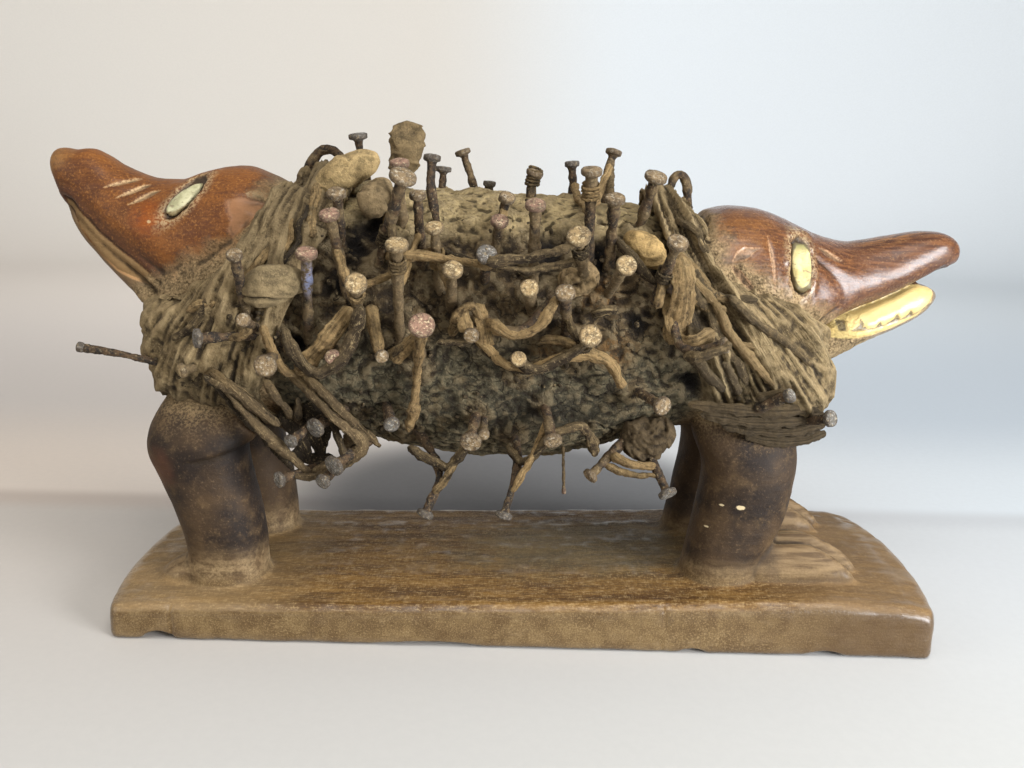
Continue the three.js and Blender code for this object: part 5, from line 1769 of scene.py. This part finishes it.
def close_tree(net, geometry, material):
    """Marks the faces that look up, realizes the geometry, gives it its material and returns the tree."""
    facing = net.node("ShaderNodeSeparateXYZ", {}, [net.node("GeometryNodeInputNormal")], "Z")
    marked = keep_named(net, geometry, "upward", facing)
    smooth = net.node("GeometryNodeSetShadeSmooth", {}, {"Geometry": marked, "Shade Smooth": True})
    real = net.node("GeometryNodeRealizeInstances", {}, {"Geometry": smooth})
    painted = net.node("GeometryNodeSetMaterial", {}, {"Geometry": real, "Material": material})
    leave = net.tree.nodes.new("NodeGroupOutput")
    net.feed(leave.inputs[0], painted)
    return net.tree


def skin_on(net, curves, profile):
    """A closed skin with the given profile along curves, as wide as the girth at each of their points."""
    inputs = {"Curve": curves, "Profile Curve": profile, "Scale": read_named(net, "girth"), "Fill Caps": True}
    return net.node("GeometryNodeCurveToMesh", {}, inputs)


def read_named(net, name):
    return net.node("GeometryNodeInputNamedAttribute", {"data_type": "FLOAT"}, {"Name": name})


def keep_named(net, geometry, name, value):
    kept = {"Geometry": geometry, "Name": name, "Value": value}
    return net.node("GeometryNodeStoreNamedAttribute", {"data_type": "FLOAT", "domain": "POINT"}, kept)


def raised(net, geometry, height, size, seed, detail=3.0):
    """Moves a surface along its normals by noise of the given height and feature size, in metres."""
    place = net.vector("ADD", net.node("GeometryNodeInputPosition"), seed)
    lift = (net.texture(place, 1 / size, detail, 0.6) - 0.5) * height
    offset = net.scaled(net.node("GeometryNodeInputNormal"), lift)
    return net.node("GeometryNodeSetPosition", {}, {"Geometry": geometry, "Offset": offset})


def nail_tree():
    net, given = geometry_tree("forged_nails", {
        "Sides": "Int", "Crust height": "Float", "Crust size": "Float", "Hammered height": "Float",
        "Seed": "Float", "Material": "Material",
    })
    curves = net.node("GeometryNodeMeshToCurve", {}, {"Mesh": given["Geometry"]})
    circle = net.node("GeometryNodeCurvePrimitiveCircle", {}, {"Resolution": given["Sides"], "Radius": 1.0})
    skin = skin_on(net, curves, circle)
    head = read_named(net, "head")
    thinner = given["Crust height"] * (1.0 - head)
    crusted = raised(net, skin, thinner, given["Crust size"], given["Seed"])
    dents = given["Hammered height"] * head
    hammered = raised(net, crusted, dents, given["Crust size"] * 1.8, given["Seed"] + 7.0, 1.0)
    return close_tree(net, hammered, given["Material"])


def strip_tree():
    net, given = geometry_tree("strips", {
        "Sides": "Int", "Flatness": "Float", "Plies": "Float", "Ply depth": "Float", "Twist": "Float",
        "Wrinkle height": "Float", "Wrinkle size": "Float", "Seed": "Float", "Material": "Material",
    })
    curves = net.node("GeometryNodeMeshToCurve", {}, {"Mesh": given["Geometry"]})
    along = net.node("GeometryNodeInputTangent")
    sideways = net.vector("CROSS_PRODUCT", (0.0, -1.0, 0.0), along)
    outward = net.vector("NORMALIZE", net.vector("CROSS_PRODUCT", along, sideways))
    facing = net.node("GeometryNodeSetCurveNormal", {"mode": "FREE"}, {"Curve": curves, "Normal": outward})
    length = net.node("GeometryNodeSplineParameter", output="Length")
    turned = net.node("GeometryNodeSetCurveTilt", {}, {"Curve": facing, "Tilt": length * given["Twist"]})
    turned = keep_named(net, turned, "run", length)
    circle = net.node("GeometryNodeCurvePrimitiveCircle", {}, {"Resolution": given["Sides"], "Radius": 1.0})
    around = net.node("GeometryNodeSplineParameter", output="Factor")
    ply = (around * given["Plies"] * math.tau).math("COSINE")
    place = net.node("GeometryNodeInputPosition")
    lobed = net.scaled(place, 1.0 + ply * given["Ply depth"])
    squash = net.node("ShaderNodeCombineXYZ", {}, [given["Flatness"], 1.0, 1.0])
    flat = net.vector("MULTIPLY", lobed, squash)
    profile = net.node("GeometryNodeSetPosition", {}, {"Geometry": circle, "Position": flat})
    skin = skin_on(net, turned, keep_named(net, profile, "turn", around))
    wrinkled = raised(net, skin, given["Wrinkle height"], given["Wrinkle size"], given["Seed"])
    return close_tree(net, wrinkled, given["Material"])


def clod_tree():
    """Small clods of mud, one on each point, as large as the point's girth."""
    net, given = geometry_tree("mud_clods", {
        "Roughness height": "Float", "Roughness size": "Float", "Seed": "Int", "Material": "Material",
    })
    clod = net.node("GeometryNodeMeshIcoSphere", {}, {"Radius": 1.0, "Subdivisions": 2})
    stretch = net.node("FunctionNodeRandomValue", {"data_type": "FLOAT_VECTOR"}, {
        "Min": (0.7, 0.7, 0.5), "Max": (1.4, 1.1, 1.0), "Seed": given["Seed"],
    })
    size = net.scaled(stretch, read_named(net, "girth"))
    turn = net.node("FunctionNodeRandomValue", {"data_type": "FLOAT_VECTOR"}, {
        "Min": (0.0, 0.0, 0.0), "Max": (math.tau, math.tau, math.tau), "Seed": given["Seed"] + 1.0,
    })
    clods = net.node("GeometryNodeInstanceOnPoints", {}, {
        "Points": given["Geometry"], "Instance": clod, "Rotation": turn, "Scale": size,
    })
    real = net.node("GeometryNodeRealizeInstances", {}, {"Geometry": clods})
    rough = raised(net, real, given["Roughness height"], given["Roughness size"], given["Seed"])
    return close_tree(net, rough, given["Material"])


def grow(made, tree, **values):
    """Runs a tree on an object with the named inputs and keeps the result as a plain mesh."""
    modifier = made.modifiers.new(tree.name, "NODES")
    modifier.node_group = tree
    for item in tree.interface.items_tree:
        label = item.name.replace(" ", "_").lower()
        if item.in_out == "INPUT" and label in values:
            modifier[item.identifier] = values[label]
    return settle(made)


def iron_material():
    finish = Finish("rusted_hand_forged_iron")
    head = finish.value("head")
    tone = finish.value("tone")
    crust = finish.noise(3.2, 4, 0.7)
    fine = finish.noise(1.4, 4, 0.75)
    shank = finish.blend(crust.between(0.38, 0.62), (0.016, 0.012, 0.009), (0.085, 0.05, 0.024))
    muddy = (finish.noise(8, 3) + 0.6 * (tone - 0.5)).between(0.46, 0.62)
    shank = shank.coated(muddy * 0.75, finish.blend(crust, (0.06, 0.039, 0.019), (0.25, 0.175, 0.085)))
    face = finish.blend(tone.between(0.2, 0.4), (0.115, 0.105, 0.09), (0.23, 0.155, 0.078))
    face = face.coated(tone.between(0.78, 0.86), (0.36, 0.25, 0.12))
    pink = tone.between(0.62, 0.66) * tone.between(0.78, 0.74)
    face = face.coated(pink, (0.29, 0.165, 0.115))
    face = face.coated(crust.between(0.46, 0.6) * 0.7, (0.055, 0.038, 0.024))
    bright = finish.noise(1.3, 3, 0.7).between(0.53, 0.6) * (tone + 0.4 * (crust - 0.5)).between(0.9, 0.1)
    glint = finish.blend(tone.between(0.3, 0.8), (0.42, 0.4, 0.36), (0.74, 0.6, 0.36))
    face = face.coated(bright * 0.3 + finish.noise(1.5, 3, 0.7).between(0.54, 0.62) * 0.6, glint)
    rim = head.between(0.72, RIM_SHARE)
    face = face.coated(rim * 0.6, (0.05, 0.034, 0.021))
    colour = finish.blend(head.between(0.3, 0.58) * 0.92, shank, face)
    blue = finish.spot((-98, 72, 182), (6, 14, 14), crust)
    colour = colour.coated(blue * crust.between(0.44, 0.58) * 0.8, (0.24, 0.28, 0.45))
    colour = colour.coats([
        (fine, 0.54, 0.7, 0.55, (0.42, 0.32, 0.175)),
        (fine, 0.46, 0.3, 0.7, (0.018, 0.013, 0.009)),
    ])
    relief = finish.bump(crust * 0.5 + fine * 0.5, 1.4)
    return finish.show(Base_Color=colour, Roughness=0.8, Metallic=0.1, Normal=relief, Specular_IOR_Level=0.35)


def strip_material():
    finish = Finish("mud_stiffened_strips")
    crust = finish.noise(4, 4, 0.7)
    fine = finish.noise(1.5, 4, 0.75)
    tone = finish.value("tone")
    across = (finish.value("turn") * math.tau).math("COSINE")
    shares = [across * 3.6, finish.value("run") / 0.014, tone * 30]
    fibres = finish.texture(finish.node("ShaderNodeCombineXYZ", {}, shares), 1.0, 4.0, 0.7)
    lit = (finish.value("upward") + 0.8 * (crust - 0.5)).between(-0.4, 0.8)
    dark = finish.blend(tone.between(0.5, 0.9), (0.03, 0.019, 0.01), (0.075, 0.042, 0.017))
    pale = finish.blend(tone.between(0.2, 0.8), (0.115, 0.08, 0.04), (0.27, 0.175, 0.076))
    colour = finish.blend((crust + 0.4 * (tone - 0.5)).between(0.36, 0.64), dark, pale)
    colour = colour.coated(lit * 0.35, finish.blend(tone, (0.24, 0.175, 0.09), (0.42, 0.29, 0.13)))
    left_low = finish.x.between(-50, -80) * finish.z.between(150, 125)
    colour = colour.coated(left_low * 0.8, finish.blend(crust, (0.035, 0.024, 0.014), (0.085, 0.06, 0.034)))
    tangle = tone.between(0.04, 0.0)
    colour = colour.coated(tangle * 0.8, (0.02, 0.014, 0.009))
    colour = colour.coats([
        (fibres, 0.48, 0.3, 0.75, (0.022, 0.015, 0.008)),
        (fibres, 0.56, 0.72, 0.5, (0.46, 0.335, 0.165)),
        (fine, 0.54, 0.7, 0.5, (0.47, 0.35, 0.18)),
        (fine, 0.46, 0.3, 0.7, (0.02, 0.014, 0.008)),
    ])
    right = finish.x.between(60, 90)
    colour = colour.coated(right * 0.35, (0.12, 0.088, 0.048))
    colour = colour.coated(right * finish.z.between(144, 120) * 0.8, (0.03, 0.022, 0.013))
    relief = finish.bump(crust * 0.3 + fine * 0.5 + fibres * 0.8, 2.2)
    return finish.show(Base_Color=colour, Roughness=0.92, Normal=relief, Specular_IOR_Level=0.25)


def lashing_path(first, second):
    starts = [np.array(nail[-2], dtype=float) * (1 - LASHING_HEIGHT) + np.array(nail[-1]) * LASHING_HEIGHT
              for nail in (first, second)]
    sag = (starts[0] + starts[1]) / 2 + np.array((0, -1, -LASHING_SAG))
    return [starts[0], sag, starts[1]]


def strip_line(radius, points, seed, waver=0.9):
    path = bent_path(points, 1.2)
    path = path + np.stack([noise(path, 9, seed + k) for k in range(3)], axis=1) * waver
    t = np.linspace(0, 1, len(path))
    blunt = 0.2 + 0.8 * np.sqrt(np.clip(1 - np.abs(2 * t - 1) ** 8, 0, 1))
    girth = radius * (1 + 0.25 * noise(path, 8, seed + 5) + 0.15 * noise(path, 3.5, seed + 6)) * blunt
    return path, girth, np.zeros(len(path))


def winding_line(nail, share, turns, seed):
    """String wound round a shank in close turns."""
    start, end = np.array(nail[-2], dtype=float), np.array(nail[-1], dtype=float)
    along = (end - start) / np.linalg.norm(end - start)
    side = np.cross(along, (0.2, 0.9, 0.3))
    side /= np.linalg.norm(side)
    other = np.cross(along, side)
    t = np.linspace(0, 1, turns * 14)
    angle = math.tau * turns * t
    middle = start + (end - start) * share + along * (t[:, None] - 0.5) * turns * 1.7
    reach = nail[0] + 0.7 + 0.3 * noise(middle * 3, 4, seed)
    path = middle + reach[:, None] * (np.cos(angle)[:, None] * side + np.sin(angle)[:, None] * other)
    return path, np.full(len(path), 0.85), np.zeros(len(path))


def collar_strands(rows, edges, fan, seed):
    """Rag strands that lie on a collar and fan out with its folds, for the front and the back."""
    random = np.random.default_rng(seed)
    leaning, count = (1, RIGHT_STRANDS) if fan[0] > 0 else (-1, LEFT_STRANDS)
    strands = {FRONT: [], BACK: []}
    for side in (FRONT, BACK):
        for _ in range(count):
            turn = leaning * random.uniform(0.05, 0.85)
            start, reach = random.uniform(12, 75), random.uniform(30, 70)
            radius = random.uniform(1.2, 2.6)
            bow = random.uniform(-0.35, 0.35)
            places = []
            for step in np.linspace(0, 1, 9):
                angle = turn + bow * step ** 2 * leaning
                away = start + reach * step
                place = np.array([[fan[0] + away * math.sin(angle), fan[1] - away * math.cos(angle)]])
                depth = half_width(rows, BODY_FULLNESS, *place[0])
                if collar_clearance(place, edges)[0] > 3 and depth > 20:
                    places.append((place[0, 0], side * (depth + 0.6), place[0, 1]))
            if len(places) > 5:
                strands[side].append(strip_line(radius, places, seed + len(places), 2.4))
    return strands


def seen_strips(rows, seed):
    """Strips placed by the pixels of the photograph where they are seen, in front of the body."""
    lines = []
    for order, (radius, *places) in enumerate(rows):
        lines.append(strip_line(radius, [seen_at(*place) for place in places], seed + 7 * order, 0.5))
    return lines


def loose_clods(seed):
    """Places and sizes of the clods of mud round the nails' feet and over the trunk."""
    random = np.random.default_rng(seed)
    places, sizes = [], []
    for shank, _, _, foot, *_ in EVERY_NAIL:
        for _ in range(12):
            x, _, z = np.array(foot) + random.normal(0, 2.2 * shank, 3)
            depth = front_depth(x, z)
            if depth > 15:
                places.append((x, math.copysign(depth + random.uniform(-0.5, 1.5), foot[1]), z))
                sizes.append(random.uniform(0.5, 1.5))
    return places, sizes


def grow_strips(name, lines, tree, material, tone=None, **values):
    made = line_object(name, lines, () if tone is None else (tone,) * len(lines))
    grow(made, tree, material=material, **values)
    return finish_piece(made, material, "rag")


def nails_and_bindings():
    iron, mud = iron_material(), strip_material()
    nails, strips = nail_tree(), strip_tree()
    bindings, rags = {FRONT: [], BACK: []}, {FRONT: [], BACK: []}
    for order, (name, members) in enumerate(NAILS.items()):
        standing = members + SLIGHT_NAILS.get(name, [])
        tones = [nail[2] for nail in standing]
        made = line_object(name + "_iron", [nail_line(nail) for nail in standing], tones)
        grow(made, nails, sides=20, crust_height=0.0017, crust_size=0.0026, hammered_height=0.0008,
             seed=0.37 * order, material=iron)
        finish_piece(made, iron, "forged_iron", name)
        side = BACK if name.startswith("back") else FRONT
        for first, second in zip(members[:-1], members[1:]):
            bindings[side].append(strip_line(2.0, lashing_path(first, second), 300 + order))
    for order, (radius, *points) in enumerate(STRIPS):
        bindings[FRONT].append(strip_line(radius * 1.05, points, 400 + order * 9))
    for seed, (rows, edges, fan, *_) in enumerate(COLLARS.values(), 31):
        for side, lines in collar_strands(rows, edges, fan, seed).items():
            rags[side] += lines
    look = {"plies": 4.0, "ply_depth": 0.1, "wrinkle_height": 0.003, "wrinkle_size": 0.0032}
    for side, name in ((FRONT, "front"), (BACK, "back")):
        grow_strips(name + "_strips", bindings[side], strips, mud, sides=16, flatness=0.75, twist=50.0,
                    seed=float(side), **look)
        grow_strips(name + "_rags", rags[side], strips, mud, sides=16, flatness=0.4, twist=0.0,
                    seed=2.0 * side, **look)
    sticks, bands = seen_strips(SEEN_STICKS, 500), seen_strips(SEEN_BANDS, 600)
    tangle = seen_strips(SEEN_TANGLE, 650)
    grow_strips("front_sticks", sticks, strips, mud, sides=12, flatness=0.9, twist=10.0, seed=3.0, **look)
    grow_strips("front_bands", bands, strips, mud, tone=0.72, sides=22, flatness=0.33, twist=0.0,
                seed=4.0, **look)
    grow_strips("dark_tangle", tangle, strips, mud, tone=0.0, sides=14, flatness=0.6, twist=25.0,
                seed=6.0, **look)
    windings = []
    for order, (name, which, share, turns) in enumerate(WINDINGS):
        windings.append(winding_line(NAILS[name][which], share, turns, 700 + order))
    grow_strips("string_windings", windings, strips, mud, sides=8, flatness=1.0, plies=2.0, ply_depth=0.1,
                twist=900.0, wrinkle_height=0.0004, wrinkle_size=0.002, seed=5.0)
    places, sizes = loose_clods(41)
    clods = make_object("mud_clods", places, [])
    store(clods, "girth", np.array(sizes) * MM)
    grow(clods, clod_tree(), roughness_height=0.0016, roughness_size=0.0022, seed=9, material=mud)
    finish_piece(clods, mud, "rag")


place_camera()
make_stage()
light_scene()
carved_figure()
eye_inlays()
for collar_name, collar_shape in COLLARS.items():
    rag_collar(collar_name, *collar_shape)
tied_packets()
nails_and_bindings()
